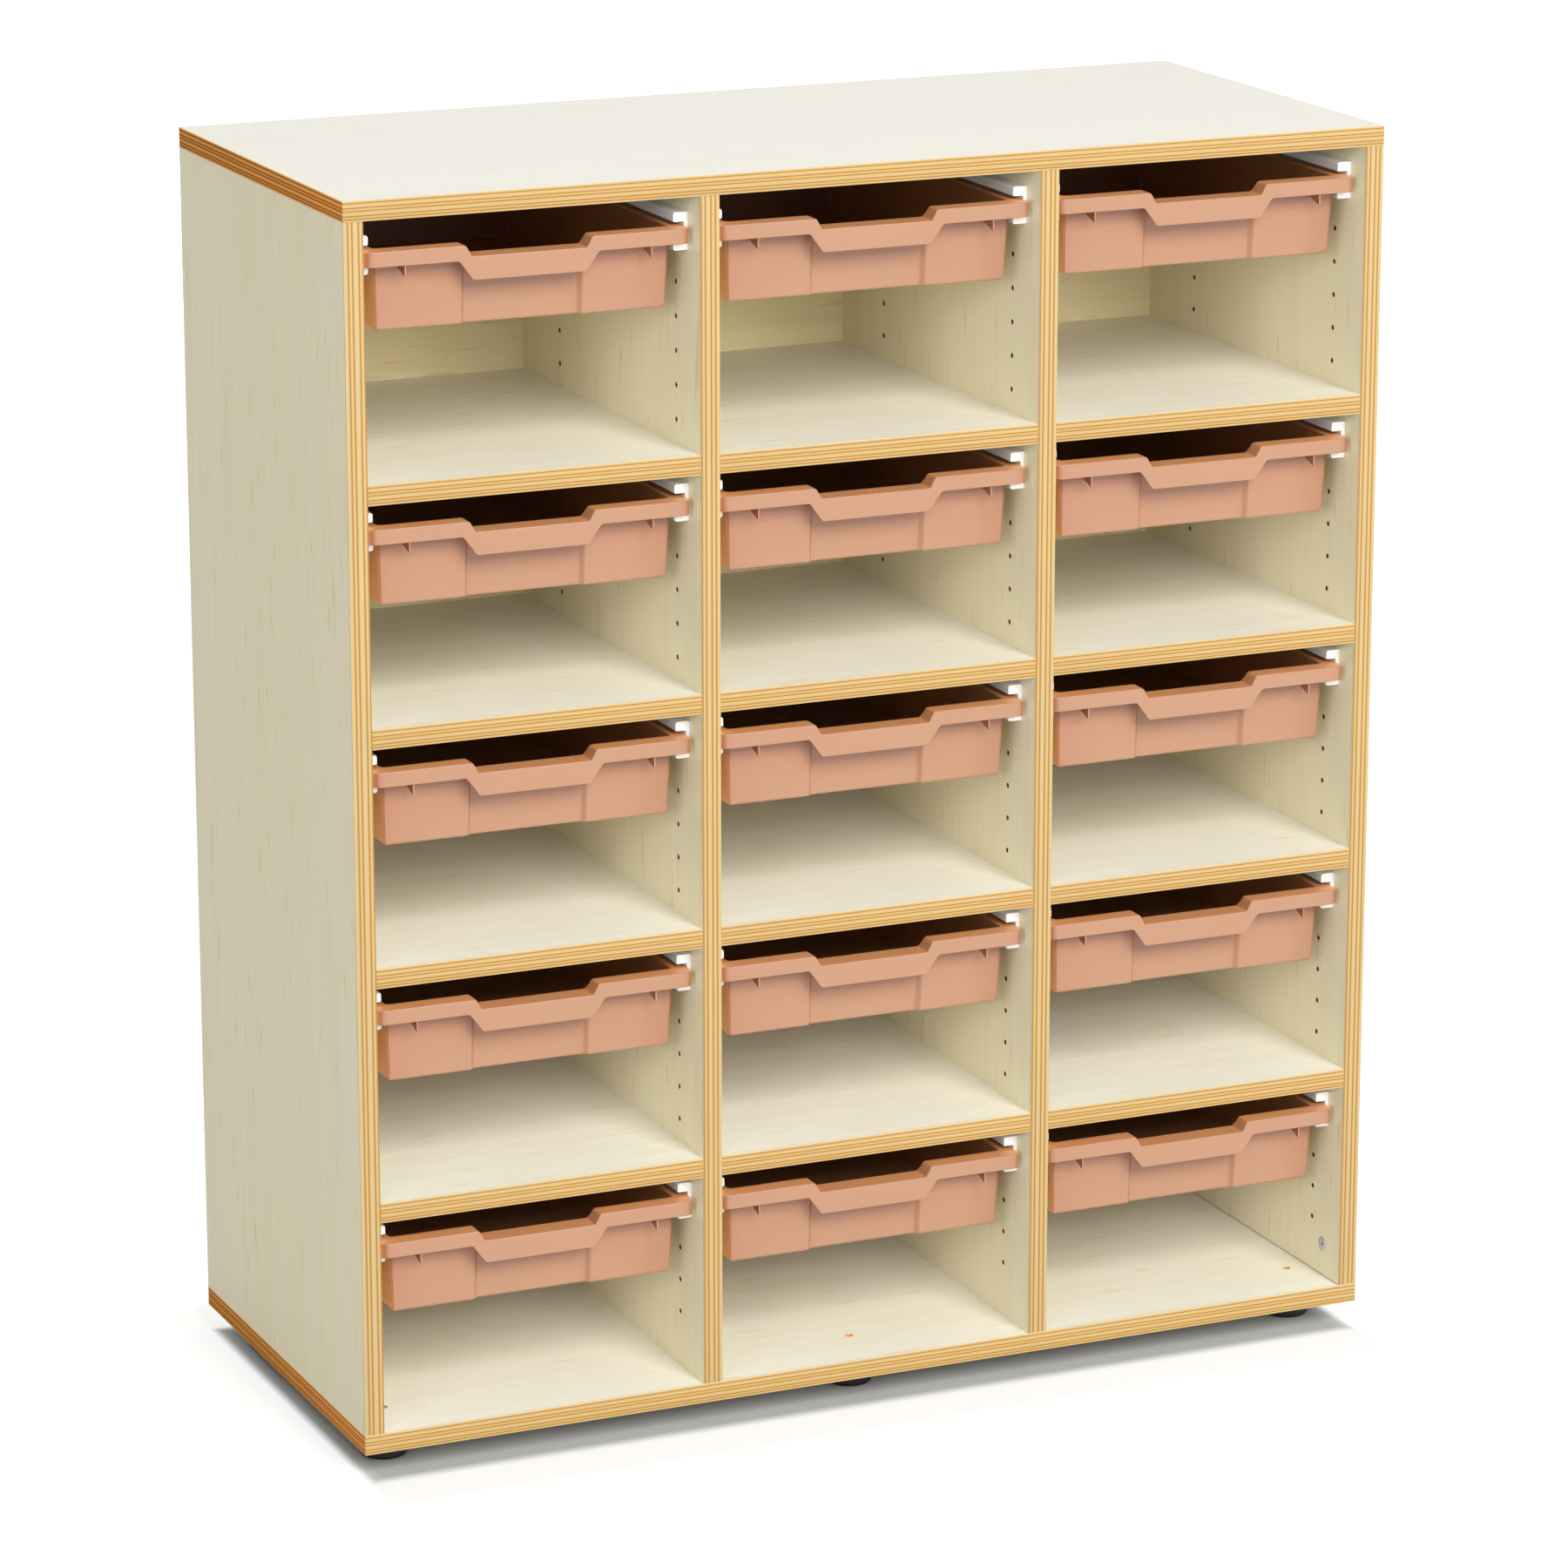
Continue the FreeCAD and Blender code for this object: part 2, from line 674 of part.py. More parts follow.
def add_tabs(body):
    """Two hooked gussets under the front lip that hold a name label."""
    for side, sign in (("left", "-"), ("right", "")):
        corners = [("tray_wall / 2", "-rim_height + tray_wall"), ("tray_wall", "-rim_height - tab_drop"),
                   ("front_flange + tray_wall / 2", "-rim_height + tray_wall")]
        sketch = outline(body, f"tab_{side}", "YZ_Plane", [corners], offset=f"{sign}tab_offset")
        pad(body, f"label_tab_{side}", sketch, "tray_wall", both=True)


def make_trays():
    master = tray_master()
    for column, side in enumerate(COLUMNS):
        x = f"{upright(column)} + board + {BAY_WIDTH} / 2"
        for level in LEVELS:
            name = f"{side}_tray_{level}"
            part(copy_at(name, master, x, f"{FRONT} + lip_setback", rim_top(level)), name)


# ---------------------------------------------------------------- levelling feet

def foot_master():
    """Pad, hexagon and stud, turned as one, with the origin at the pad's underside."""
    pad_disc = rod("foot_pad", PAD_SIDES, "pad_dia", "pad_height", "0", "0", "0")
    boss = rod("foot_boss", 6, "boss_dia", "boss_height", "0", "0", "pad_height")
    stud_start = "(pad_height + boss_height)"
    stud = rod("foot_stud", DRILL_SIDES, "stud_dia", f"foot_height + stud_engaged - {stud_start}",
               "0", "0", stud_start)
    return fuse("foot", [pad_disc, boss, stud])


def socket_master():
    """A flanged sleeve in the bottom panel, with the origin at the panel's underside."""
    flange = rod("socket_plate", FITTING_SIDES, "socket_flange_dia", "socket_flange",
                 "0", "0", "-socket_flange")
    sleeve = rod("socket_sleeve", FITTING_SIDES, "(socket_dia - 2 * socket_play)",
                 "socket_depth - socket_play", "0", "0", "0")
    bore = rod("socket_bore", DRILL_SIDES, "(stud_dia + 2 * stud_play)", "socket_flange + socket_depth",
               "0", "0", "-socket_flange")
    return cut("socket", fuse("socket_body", [flange, sleeve]), [bore])


def make_feet():
    foot = foot_master()
    socket = socket_master()
    sockets = []
    for name, x, y in foot_places():
        part(copy_at(f"{name}_foot", foot, x, y, "0"), f"{name}_foot")
        sockets.append(copy_at(f"{name}_socket", socket, x, y, UNDERSIDE))
    part(compound("sockets", sockets), "foot_sockets")


# ---------------------------------------------------------------- build and write

def check_document():
    failed = [item.Name for item in doc.Objects if "Invalid" in item.State or "Error" in item.State]
    if failed:
        raise RuntimeError("these objects failed: " + ", ".join(failed))
    for item in parts:
        if item.Shape.isNull() or not item.Shape.isValid():
            raise RuntimeError("no valid shape: " + item.Label)


def write_parts():
    os.makedirs("parts", exist_ok=True)
    for item in parts:
        item.Shape.exportStep(f"parts/{item.Label}.step")
    print(len(parts), "parts,", sum(len(item.Shape.Solids) for item in parts), "solids")


make_top_and_bottom()
make_side_panels()
make_dividers()
make_shelves()
make_back()
make_edging()
make_runners()
make_trays()
make_feet()
make_cams()
doc.recompute()
check_document()
write_parts()
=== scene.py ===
import json
import math

import bmesh
import bpy
from mathutils import Matrix, Vector

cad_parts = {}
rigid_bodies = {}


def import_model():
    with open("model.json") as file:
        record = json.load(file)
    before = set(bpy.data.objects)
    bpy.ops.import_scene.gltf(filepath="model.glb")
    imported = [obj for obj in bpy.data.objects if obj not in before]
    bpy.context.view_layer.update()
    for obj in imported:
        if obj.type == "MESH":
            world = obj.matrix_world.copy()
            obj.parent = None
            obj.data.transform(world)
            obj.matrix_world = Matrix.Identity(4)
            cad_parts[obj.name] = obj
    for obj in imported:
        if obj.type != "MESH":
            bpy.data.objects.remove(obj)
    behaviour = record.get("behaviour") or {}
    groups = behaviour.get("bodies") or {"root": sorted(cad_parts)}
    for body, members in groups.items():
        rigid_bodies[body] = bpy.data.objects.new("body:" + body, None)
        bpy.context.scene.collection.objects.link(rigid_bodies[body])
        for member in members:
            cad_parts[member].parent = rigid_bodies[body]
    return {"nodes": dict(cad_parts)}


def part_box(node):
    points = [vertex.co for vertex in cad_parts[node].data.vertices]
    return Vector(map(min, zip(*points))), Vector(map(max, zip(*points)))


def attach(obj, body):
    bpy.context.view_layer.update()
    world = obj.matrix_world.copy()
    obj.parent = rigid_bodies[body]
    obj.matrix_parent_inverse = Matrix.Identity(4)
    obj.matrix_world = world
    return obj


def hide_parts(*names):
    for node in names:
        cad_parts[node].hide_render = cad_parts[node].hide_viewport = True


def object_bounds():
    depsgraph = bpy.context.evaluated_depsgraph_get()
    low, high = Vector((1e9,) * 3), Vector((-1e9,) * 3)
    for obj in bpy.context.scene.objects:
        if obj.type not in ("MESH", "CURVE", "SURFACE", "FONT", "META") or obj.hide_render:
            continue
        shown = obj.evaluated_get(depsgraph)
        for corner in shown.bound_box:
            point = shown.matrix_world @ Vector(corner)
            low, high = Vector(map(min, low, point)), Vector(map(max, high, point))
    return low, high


# Classroom tray storage unit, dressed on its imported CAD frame. Metres, apart from the outlines
# of the trays and runners, which are worked out in millimetres and scaled by MM.

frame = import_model()
cad_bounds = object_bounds()
MM = 0.001
COLUMNS = ("left", "middle", "right")
LEVELS = (1, 2, 3, 4, 5)


# ---------------------------------------------------------------- materials

def linear(red, green, blue):
    """A colour given as display values from 0 to 255."""
    def one(value):
        value /= 255
        return value / 12.92 if value <= 0.04045 else ((value + 0.055) / 1.055) ** 2.4
    return one(red), one(green), one(blue), 1.0


class Paint:
    """One procedural material and short ways to add its nodes."""

    def __init__(self, name, colour, roughness, specular=0.5):
        self.material = bpy.data.materials.new(name)
        self.material.use_nodes = True
        self.tree = self.material.node_tree
        self.shader = self.tree.nodes["Principled BSDF"]
        self.shader.inputs["Base Color"].default_value = colour
        self.shader.inputs["Roughness"].default_value = roughness
        self.shader.inputs["Specular IOR Level"].default_value = specular

    def node(self, kind, **settings):
        made = self.tree.nodes.new("ShaderNode" + kind)
        for key, value in settings.items():
            setattr(made, key, value)
        return made

    def link(self, source, target):
        self.tree.links.new(source, target)

    def place(self, scale):
        """The object's own coordinates, stretched by a scale for each axis."""
        mapping = self.node("Mapping")
        mapping.inputs["Scale"].default_value = scale
        self.link(self.node("TexCoord").outputs["Object"], mapping.inputs["Vector"])
        return mapping.outputs["Vector"]

    def noise(self, scale, stretch=(1, 1, 1), detail=3.0, rough=0.55):
        noise = self.node("TexNoise")
        noise.inputs["Scale"].default_value = scale
        noise.inputs["Detail"].default_value = detail
        noise.inputs["Roughness"].default_value = rough
        self.link(self.place(stretch), noise.inputs["Vector"])
        return noise.outputs["Fac"]

    def ramp(self, source, stops):
        """stops is a list of (place, colour)."""
        ramp = self.node("ValToRGB")
        elements = ramp.color_ramp.elements
        while len(elements) < len(stops):
            elements.new(0.5)
        for element, (place, colour) in zip(elements, stops):
            element.position = place
            element.color = colour
        self.link(source, ramp.inputs["Fac"])
        return ramp.outputs["Color"]

    def mask(self, source, low, high, strength):
        """A share from 0 to strength as the source goes from low to high."""
        mask = self.node("MapRange")
        for key, value in (("From Min", low), ("From Max", high), ("To Max", strength)):
            mask.inputs[key].default_value = value
        self.link(source, mask.inputs["Value"])
        return mask.outputs["Result"]

    def mix(self, share, first, second):
        mix = self.node("Mix", data_type="RGBA")
        self.link(share, mix.inputs["Factor"])
        for value, socket in ((first, mix.inputs[6]), (second, mix.inputs[7])):
            if isinstance(value, tuple):
                socket.default_value = value
            else:
                self.link(value, socket)
        return mix.outputs[2]

    def colour(self, source):
        self.link(source, self.shader.inputs["Base Color"])

    def roughness(self, source, low, high):
        spread = self.node("MapRange")
        spread.inputs["To Min"].default_value = low
        spread.inputs["To Max"].default_value = high
        self.link(source, spread.inputs["Value"])
        self.link(spread.outputs["Result"], self.shader.inputs["Roughness"])

    def bump(self, height, strength, distance):
        bump = self.node("Bump")
        bump.inputs["Strength"].default_value = strength
        bump.inputs["Distance"].default_value = distance
        self.link(height, bump.inputs["Height"])
        self.link(bump.outputs["Normal"], self.shader.inputs["Normal"])


def laminate(name, stretch, pale, deep, fleck_colour, specular=0.25):
    """Pale maple laminate with its grain along one axis, which stretch names by its low value."""
    paint = Paint(name, pale, 0.45, specular)
    cloud = paint.noise(5.0, stretch, 4.0)
    streak = paint.noise(75.0, stretch, 4.0, 0.65)
    fine = paint.noise(420.0, stretch, 2.0)
    fleck = paint.noise(130.0, tuple(0.08 + 0.92 * value for value in stretch), 1.0)
    base = paint.mix(paint.mask(cloud, 0.35, 0.7, 0.5), pale, deep)
    base = paint.mix(paint.mask(streak, 0.47, 0.68, 0.8), base, deep)
    base = paint.mix(paint.mask(fine, 0.5, 0.66, 0.5), base, deep)
    base = paint.mix(paint.mask(fleck, 0.67, 0.76, 0.6), base, fleck_colour)
    paint.colour(base)
    paint.roughness(streak, 0.38, 0.5)
    paint.bump(streak, 0.08, 0.0004)
    return paint.material


# The edge strips' own colour, seen where their two millimetres show beside a board.
CORE = linear(250, 242, 214)
# Where the uv layer puts the printed face of a strip (start and share) and its sides.
FACE_START, FACE_SHARE, SIDE_PLACE = 0.002, 0.93, 0.97


def striped_edge(name, dark_lines, wide=linear(229, 198, 131), narrow=linear(232, 188, 115),
                 dark=linear(184, 130, 62), arris=None, specular=0.4, flat=0.01, fall=0.04):
    """Edge strip printed like plywood. The uv layer holds metres along it and the share across.
    wide and narrow take turns between the dark lines. arris is the paler colour of the last
    millimetre, a painted highlight along the strip's upper edge. flat and fall are half the width
    of a dark line, without and with its soft sides."""
    paint = Paint(name, wide, 0.42, specular)
    layer = paint.node("UVMap", uv_map="strip")
    grain = paint.node("TexNoise")
    stretch = paint.node("Mapping")
    stretch.inputs["Scale"].default_value = (6.0, 60.0, 1.0)
    paint.link(layer.outputs["UV"], stretch.inputs["Vector"])
    paint.link(stretch.outputs["Vector"], grain.inputs["Vector"])
    grain.inputs["Scale"].default_value = 1.0
    grain.inputs["Detail"].default_value = 3.0
    split = paint.node("SeparateXYZ")
    paint.link(layer.outputs["UV"], split.inputs["Vector"])
    share = paint.node("Math", operation="ADD")
    paint.link(split.outputs["Y"], share.inputs[0])
    paint.link(paint.mask(grain.outputs["Fac"], 0.2, 0.8, 0.012), share.inputs[1])
    across = paint.node("Math", operation="FRACT")
    paint.link(share.outputs[0], across.inputs[0])
    stops = [(0.0, wide)]
    for count, line in enumerate(dark_lines):
        before, after = (wide, narrow) if count % 2 == 0 else (narrow, wide)
        stops += [(line - fall, before), (line - flat, dark),
                  (line + flat, dark), (line + fall, after)]
    # A paler band on the last millimetre of the face: a painted highlight along the upper edge.
    if arris:
        stops += [(0.885, after), (0.915, arris)]
    stops += [(0.948, arris or after), (0.955, CORE)]
    base = paint.ramp(across.outputs[0], stops)
    base = paint.mix(paint.mask(grain.outputs["Fac"], 0.45, 0.75, 0.22), base, dark)
    paint.colour(base)
    paint.roughness(grain.outputs["Fac"], 0.36, 0.5)
    paint.bump(grain.outputs["Fac"], 0.06, 0.0002)
    return paint.material


# How far the painted shade and light on a tray's plastic look for neighbours that hide its light.
PAINTED_SHADE_REACH = 0.1


def moulded(name, base, deep, roughness, specular=0.5, painted_shade_front=None, painted_shading_up_or_side=None, bounce=None):
    """Moulded plastic with a fine spark-eroded grain and a slow change of colour. The colours given
    for faces that look forward and for faces that look up or sideways are painted shade and painted
    light, mixed in by ambient occlusion where neighbours hide the light. bounce is a greyer colour
    for the light that it sends on to its neighbours."""
    paint = Paint(name, base, roughness, specular)
    colour = paint.mix(paint.mask(paint.noise(9.0), 0.35, 0.75, 0.6), base, deep)
    if painted_shade_front:
        near = paint.node("AmbientOcclusion", samples=6)
        near.inputs["Distance"].default_value = PAINTED_SHADE_REACH
        normal = paint.node("SeparateXYZ")
        paint.link(paint.node("NewGeometry").outputs["Normal"], normal.inputs["Vector"])
        forward = paint.node("Math", operation="ABSOLUTE")
        paint.link(normal.outputs["Y"], forward.inputs[0])
        # Painted shade and light: where neighbours hide the light, forward faces take a darker
        # orange and the others a colour of their own.
        painted_shading = paint.mix(paint.mask(forward.outputs[0], 0.3, 0.8, 1.0), painted_shading_up_or_side, painted_shade_front)
        colour = paint.mix(paint.mask(near.outputs["AO"], 1.0, 0.0, 1.0), colour, painted_shading)
    if bounce:
        colour = paint.mix(paint.node("LightPath").outputs["Is Diffuse Ray"], colour, bounce)
    paint.colour(colour)
    fine = paint.noise(1400.0, detail=2.0)
    paint.roughness(fine, roughness - 0.06, roughness + 0.06)
    paint.bump(fine, 0.12, 0.0001)
    return paint.material


def metal(name, base, roughness, metallic):
    paint = Paint(name, base, roughness)
    paint.shader.inputs["Metallic"].default_value = metallic
    fine = paint.noise(700.0, detail=3.0)
    paint.colour(paint.mix(paint.mask(fine, 0.4, 0.7, 0.3), base, linear(150, 146, 150)))
    paint.bump(fine, 0.1, 0.0001)
    return paint.material


def chipboard(name, dark, pale):
    """Raw board where a panel is drilled or rebated."""
    paint = Paint(name, dark, 0.85, 0.2)
    chips = paint.noise(900.0, detail=2.0)
    paint.colour(paint.ramp(chips, [(0.3, dark), (0.7, pale)]))
    paint.bump(chips, 0.3, 0.0004)
    return paint.material


ALONG_X, ALONG_Z = (0.05, 1, 1), (1, 1, 0.05)
GRAIN_UP = laminate("laminate_upright", ALONG_Z,
                    linear(243, 237, 211), linear(238, 229, 195), linear(228, 202, 146))
# The unit's outer sides take a darker, yellower copy of the uprights' laminate: painted shade.
GRAIN_SIDE_PAINTED_SHADE = laminate("laminate_outer_side_painted_shade", ALONG_Z,
                      linear(238, 229, 196), linear(234, 222, 181), linear(224, 198, 138))
GRAIN_ACROSS = laminate("laminate_level", ALONG_X,
                        linear(243, 242, 229), linear(238, 235, 215), linear(230, 216, 178))
GRAIN_BACK = laminate("laminate_back", ALONG_X,
                      linear(221, 210, 170), linear(213, 198, 151), linear(204, 182, 132))
GRAIN_TOP = laminate("laminate_top", ALONG_X,
                     linear(241, 238, 226), linear(238, 235, 221), linear(235, 229, 210), 0.1)
LEVEL_LINES = (0.12, 0.26, 0.464, 0.612, 0.812)
EDGE_LEVEL = striped_edge("edge_strip_level", LEVEL_LINES, arris=linear(233, 219, 184))
# The strips on the ends of the top and bottom are a deeper orange copy of the level strips' print
# without gloss: painted shade for ends that face sideways.
EDGE_END_PAINTED_SHADE = striped_edge("edge_strip_end_painted_shade", LEVEL_LINES, linear(238, 174, 98), linear(232, 162, 84),
                        linear(180, 104, 42), arris=linear(246, 204, 134), specular=0.0,
                        flat=0.022, fall=0.058)
UPRIGHT_LOOK = {"wide": linear(227, 200, 142), "narrow": linear(233, 197, 130),
                "dark": linear(188, 138, 70), "flat": 0.016, "fall": 0.065}
EDGE_LEFT = striped_edge("edge_strip_left", (0.222, 0.417, 0.715, 0.91), **UPRIGHT_LOOK)
EDGE_UPRIGHT = striped_edge("edge_strip_upright", (0.055, 0.25, 0.52, 0.735), **UPRIGHT_LOOK)
# On the trays the occlusion colours paint shade on forward faces in a darker orange, and paint
# light on faces that look up or sideways in a brighter orange.
TRAY_LOOK = {"base": linear(201, 148, 113), "deep": linear(198, 143, 108), "roughness": 0.4,
             "specular": 1.0, "painted_shade_front": linear(164, 70, 26), "bounce": linear(204, 176, 140)}
TRAY = moulded("tray_plastic", painted_shading_up_or_side=linear(255, 172, 108), **TRAY_LOOK)
# The label tabs take a copy whose colour for faces that look up or sideways is darker: painted
# shade.
TAB_PAINTED_SHADE = moulded("tray_tab_plastic_painted_shade", painted_shading_up_or_side=linear(170, 66, 22), **TRAY_LOOK)
RUNNER = moulded("runner_plastic", linear(236, 234, 232), linear(231, 229, 226), 0.38)
BLACK = moulded("foot_plastic", linear(30, 31, 31), linear(22, 23, 23), 0.5)
# Raw board darkened as painted shade, inside the small holes and the shadow gap of the uprights.
RAW_PAINTED_SHADE = chipboard("raw_board_in_holes_painted_shade", linear(110, 62, 30), linear(150, 94, 52))
RAW = chipboard("raw_board", linear(206, 142, 80), linear(228, 168, 104))
CAM_METAL = metal("cam_metal", linear(240, 239, 250), 0.35, 0.0)
STEEL = metal("bolt_steel", linear(176, 174, 168), 0.35, 0.8)
# Painted shade for the cams' cross slots, also used for the setting arrows.
SLOT_SHADE_AND_ARROW = moulded("cam_slot_shade_and_arrow", linear(106, 102, 112), linear(92, 88, 100), 0.6)


# ---------------------------------------------------------------- mesh helpers

def piece(name, build, material, body, replaced, sharp):
    """Make an object from a bmesh, with edges sharper than an angle in degrees kept sharp."""
    mesh = bpy.data.meshes.new(name)
    bmesh.ops.recalc_face_normals(build, faces=build.faces)
    for edge in build.edges:
        if len(edge.link_faces) == 2 and edge.calc_face_angle(0) > math.radians(sharp):
            edge.smooth = False
    for face in build.faces:
        face.smooth = True
    build.to_mesh(mesh)
    build.free()
    return dress(bpy.data.objects.new(name, mesh), material, body, replaced)


def dress(item, material, body, replaced):
    """Give an object its material or materials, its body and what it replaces."""
    bpy.context.scene.collection.objects.link(item)
    materials = material if isinstance(material, (list, tuple)) else [material]
    for one in materials:
        item.data.materials.append(one)
    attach(item, body)
    if replaced:
        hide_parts(*replaced)
    return item


def weigh_normals(item):
    modifier = item.modifiers.new("weighted", "WEIGHTED_NORMAL")
    modifier.keep_sharp = True
    modifier.weight = 80


def join_rings(build, rings):
    """Skin between rings of points that all have the same count, and close both ends."""
    rows = [[build.verts.new(point) for point in ring] for ring in rings]
    count = len(rows[0])
    for low, high in zip(rows, rows[1:]):
        for index in range(count):
            after = (index + 1) % count
            build.faces.new((low[index], low[after], high[after], high[index]))
    build.faces.new(list(reversed(rows[0])))
    build.faces.new(rows[-1])


def turn(count):
    """Angles that go once round, in radians."""
    return [2 * math.pi * step / count for step in range(count)]


def soften(points, radii, steps=5, closed=False):
    """Round the corners of a polyline. radii has one radius for each point."""
    count = len(points)
    result = []
    for index, point in enumerate(points):
        radius = radii[index]
        if not closed and index in (0, count - 1) or radius <= 0:
            result.append(Vector(point))
            continue
        here = Vector(point)
        back = Vector(points[index - 1]) - here
        on = Vector(points[(index + 1) % count]) - here
        half_angle = back.angle(on) / 2
        reach = min(radius / math.tan(half_angle), back.length * 0.49, on.length * 0.49)
        start = here + back.normalized() * reach
        end = here + on.normalized() * reach
        for step in range(steps + 1):
            t = step / steps
            result.append(start * (1 - t) ** 2 + here * 2 * t * (1 - t) + end * t ** 2)
    return result


def lathe(build, profile, centre, sides):
    """Turn a profile of (radius, height) about an upright axis."""
    join_rings(build, [[centre + Vector((radius * math.cos(a), radius * math.sin(a), height))
                        for a in turn(sides)] for radius, height in profile])


def bar(build, low, high, radius):
    """A box with rounded edges."""
    made = bmesh.ops.create_cube(build, size=1.0)["verts"]
    low, high = Vector(low), Vector(high)
    for vert in made:
        vert.co = Vector((low[i] + high[i]) / 2 + vert.co[i] * (high[i] - low[i])
                         for i in range(3))
    if radius:
        ease(build, {edge for vert in made for edge in vert.link_edges}, radius)


def ease(build, edges, radius):
    bmesh.ops.bevel(build, geom=list(edges), offset=radius, segments=2, profile=0.6,
                    affect="EDGES")


# ---------------------------------------------------------------- trays

# Millimetres. The edges below are heights or insets along the front, by the place from its middle.
TRAY_WALL = 2.0
TRAY_HEIGHT = 75.0
DRAFT = math.tan(math.radians(3.4))
FRONT_FLANGE = 17.7
SIDE_FLANGE = 12.8
RECESS = 4.0
LIP = 14.0
TOP_EDGE = soften([(-160, 0), (-60.6, 0), (-55.0, -10), (55.0, -10), (60.6, 0), (160, 0)],
                  [0, 4.0, 1.8, 1.8, 4.0, 0])
LOW_EDGE = soften([(-160, -LIP), (-67, -LIP), (-54, -31.7), (54, -31.7), (67, -LIP), (160, -LIP)],
                  [0, 4, 3, 3, 4, 0])
STEP_EDGE = soften([(-160, 0), (-58.2, 0), (-54.4, RECESS), (54.4, RECESS), (58.2, 0), (160, 0)],
                   [0, 1.6, 1.6, 1.6, 1.6, 0])
TAB_PLACE, TAB_HALF = 118.0, 0.6
TAB_SECTION = [(1.2, -12.5), (1.2, -23.4), (1.9, -24.4), (2.9, -24.0), (19.0, -19.0), (19.0, -12.5)]


def height_at(edge, x):
    """Where a softened edge is at a place along it."""
    for start, end in zip(edge, edge[1:]):
        if start.x <= x <= end.x:
            share = (x - start.x) / (end.x - start.x) if end.x > start.x else 0
            return start.y + share * (end.y - start.y)
    return edge[-1].y


def stations():
    """Places along the front, close together where the dip and the recess turn."""
    right = [0, 15, 30, 42, 48]
    right += [50 + 0.75 * step for step in range(28)]
    right += [76, 90, 104, 118, 130]
    return [-x for x in reversed(right[1:])] + right


def arc(centre_x, centre_y, radius, start):
    """A quarter of a circle in six steps."""
    angles = [math.radians(start + 15 * step) for step in range(7)]
    return [(centre_x + radius * math.cos(angle), centre_y + radius * math.sin(angle))
            for angle in angles]


def tray_outline(kind, inset, half_rim, depth):
    """Points round the rim or the well, as (x, y, place along the front or None)."""
    if kind == "rim":
        half, front, rear = half_rim - inset, inset, depth - inset
        radius = max(8.0 - inset, 1.0)
    else:
        half = half_rim - SIDE_FLANGE - inset
        front, rear = FRONT_FLANGE + inset, depth - SIDE_FLANGE - inset
        radius = max(5.0 - inset, 1.5)
    points = []
    for x in stations():
        step = height_at(STEP_EDGE, x) if kind == "well" else 0
        points.append((x, front + step, x))
    points += [(x, y, None) for x, y in arc(half - radius, front + radius, radius, -90)]
    points += [(half, front + (rear - front) * share, None) for share in (0.25, 0.5, 0.75)]
    points += [(x, y, None) for x, y in arc(half - radius, rear - radius, radius, 0)]
    points += [(half * share, rear, None) for share in (0.6, 0.3, 0, -0.3, -0.6)]
    points += [(x, y, None) for x, y in arc(radius - half, rear - radius, radius, 90)]
    points += [(-half, front + (rear - front) * share, None) for share in (0.75, 0.5, 0.25)]
    points += [(x, y, None) for x, y in arc(radius - half, front + radius, radius, 180)]
    return points


def tray_rings():
    """The tray's section as (kind, inset, edge that the height follows or None, height), from
    under the floor, up the outside, round the rim and down to the floor inside."""
    base = TRAY_HEIGHT
    floor = TRAY_HEIGHT - TRAY_WALL
    return [
        ("well", DRAFT * base + 3.0, None, -base),
        ("well", DRAFT * base + 1.0, None, -base + 0.45),
        ("well", DRAFT * base + 0.2, None, -base + 1.5),
        ("well", DRAFT * (base - 3), None, -base + 3.2),
        ("well", DRAFT * 34, None, -34.0),
        ("well", DRAFT * 3, "top", -3.2),
        ("well", -0.3, "top", -2.4),
        ("well", -1.2, "top", -TRAY_WALL),
        ("rim", TRAY_WALL + 1.0, "top", -TRAY_WALL),
        ("rim", TRAY_WALL, "top", -TRAY_WALL - 1.0),
        ("rim", TRAY_WALL, "low", 0.5),
        ("rim", TRAY_WALL - 0.5, "low", 0.0),
        ("rim", 0.5, "low", 0.0),
        ("rim", 0.12, "low", 0.15),
        ("rim", 0.0, "low", 0.6),
        ("rim", 0.0, "top", -1.3),
        ("rim", 0.35, "top", -0.4),
        ("rim", 1.3, "top", 0.0),
        ("well", 0.6, "top", 0.0),
        ("well", 1.6, "top", -0.4),
        ("well", TRAY_WALL + DRAFT * 1.5, "top", -1.5),
        ("well", TRAY_WALL + DRAFT * (floor - 3), None, -floor + 3),
        ("well", TRAY_WALL + DRAFT * floor + 0.6, None, -floor + 0.9),
        ("well", TRAY_WALL + DRAFT * floor + 3.0, None, -floor),
    ]


def ring_points(kind, inset, follows, height, half_rim, depth):
    """One ring of the tray's skin, from one row of tray_rings."""
    ring = []
    for x, y, place in tray_outline(kind, inset, half_rim, depth):
        z = height
        if follows == "top" and place is not None:
            z += height_at(TOP_EDGE, place)
        if follows == "low":
            z += height_at(LOW_EDGE, place) if place is not None else -LIP
        ring.append(Vector((x, y, z)))
    return ring


def add_label_tabs(build):
    """Hooked gussets behind the lip, one each side, in the tray's second material, a copy of the
    plastic with darker painted shade.
    """
    shell = set(build.faces)
    for x in (-TAB_PLACE, TAB_PLACE):
        join_rings(build, [[Vector((x + side, y, z)) for y, z in TAB_SECTION]
                           for side in (-TAB_HALF, TAB_HALF)])
    for face in set(build.faces) - shell:
        face.material_index = 1


def tray_mesh(low, high):
    """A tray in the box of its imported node."""
    half_rim = (high.x - low.x) / 2 / MM
    depth = (high.y - low.y) / MM
    build = bmesh.new()
    join_rings(build, [ring_points(*ring, half_rim, depth) for ring in tray_rings()])
    add_label_tabs(build)
    place = Matrix.Translation(((low.x + high.x) / 2, low.y, high.z)) @ Matrix.Scale(MM, 4)
    bmesh.ops.transform(build, matrix=place, verts=build.verts)
    return build


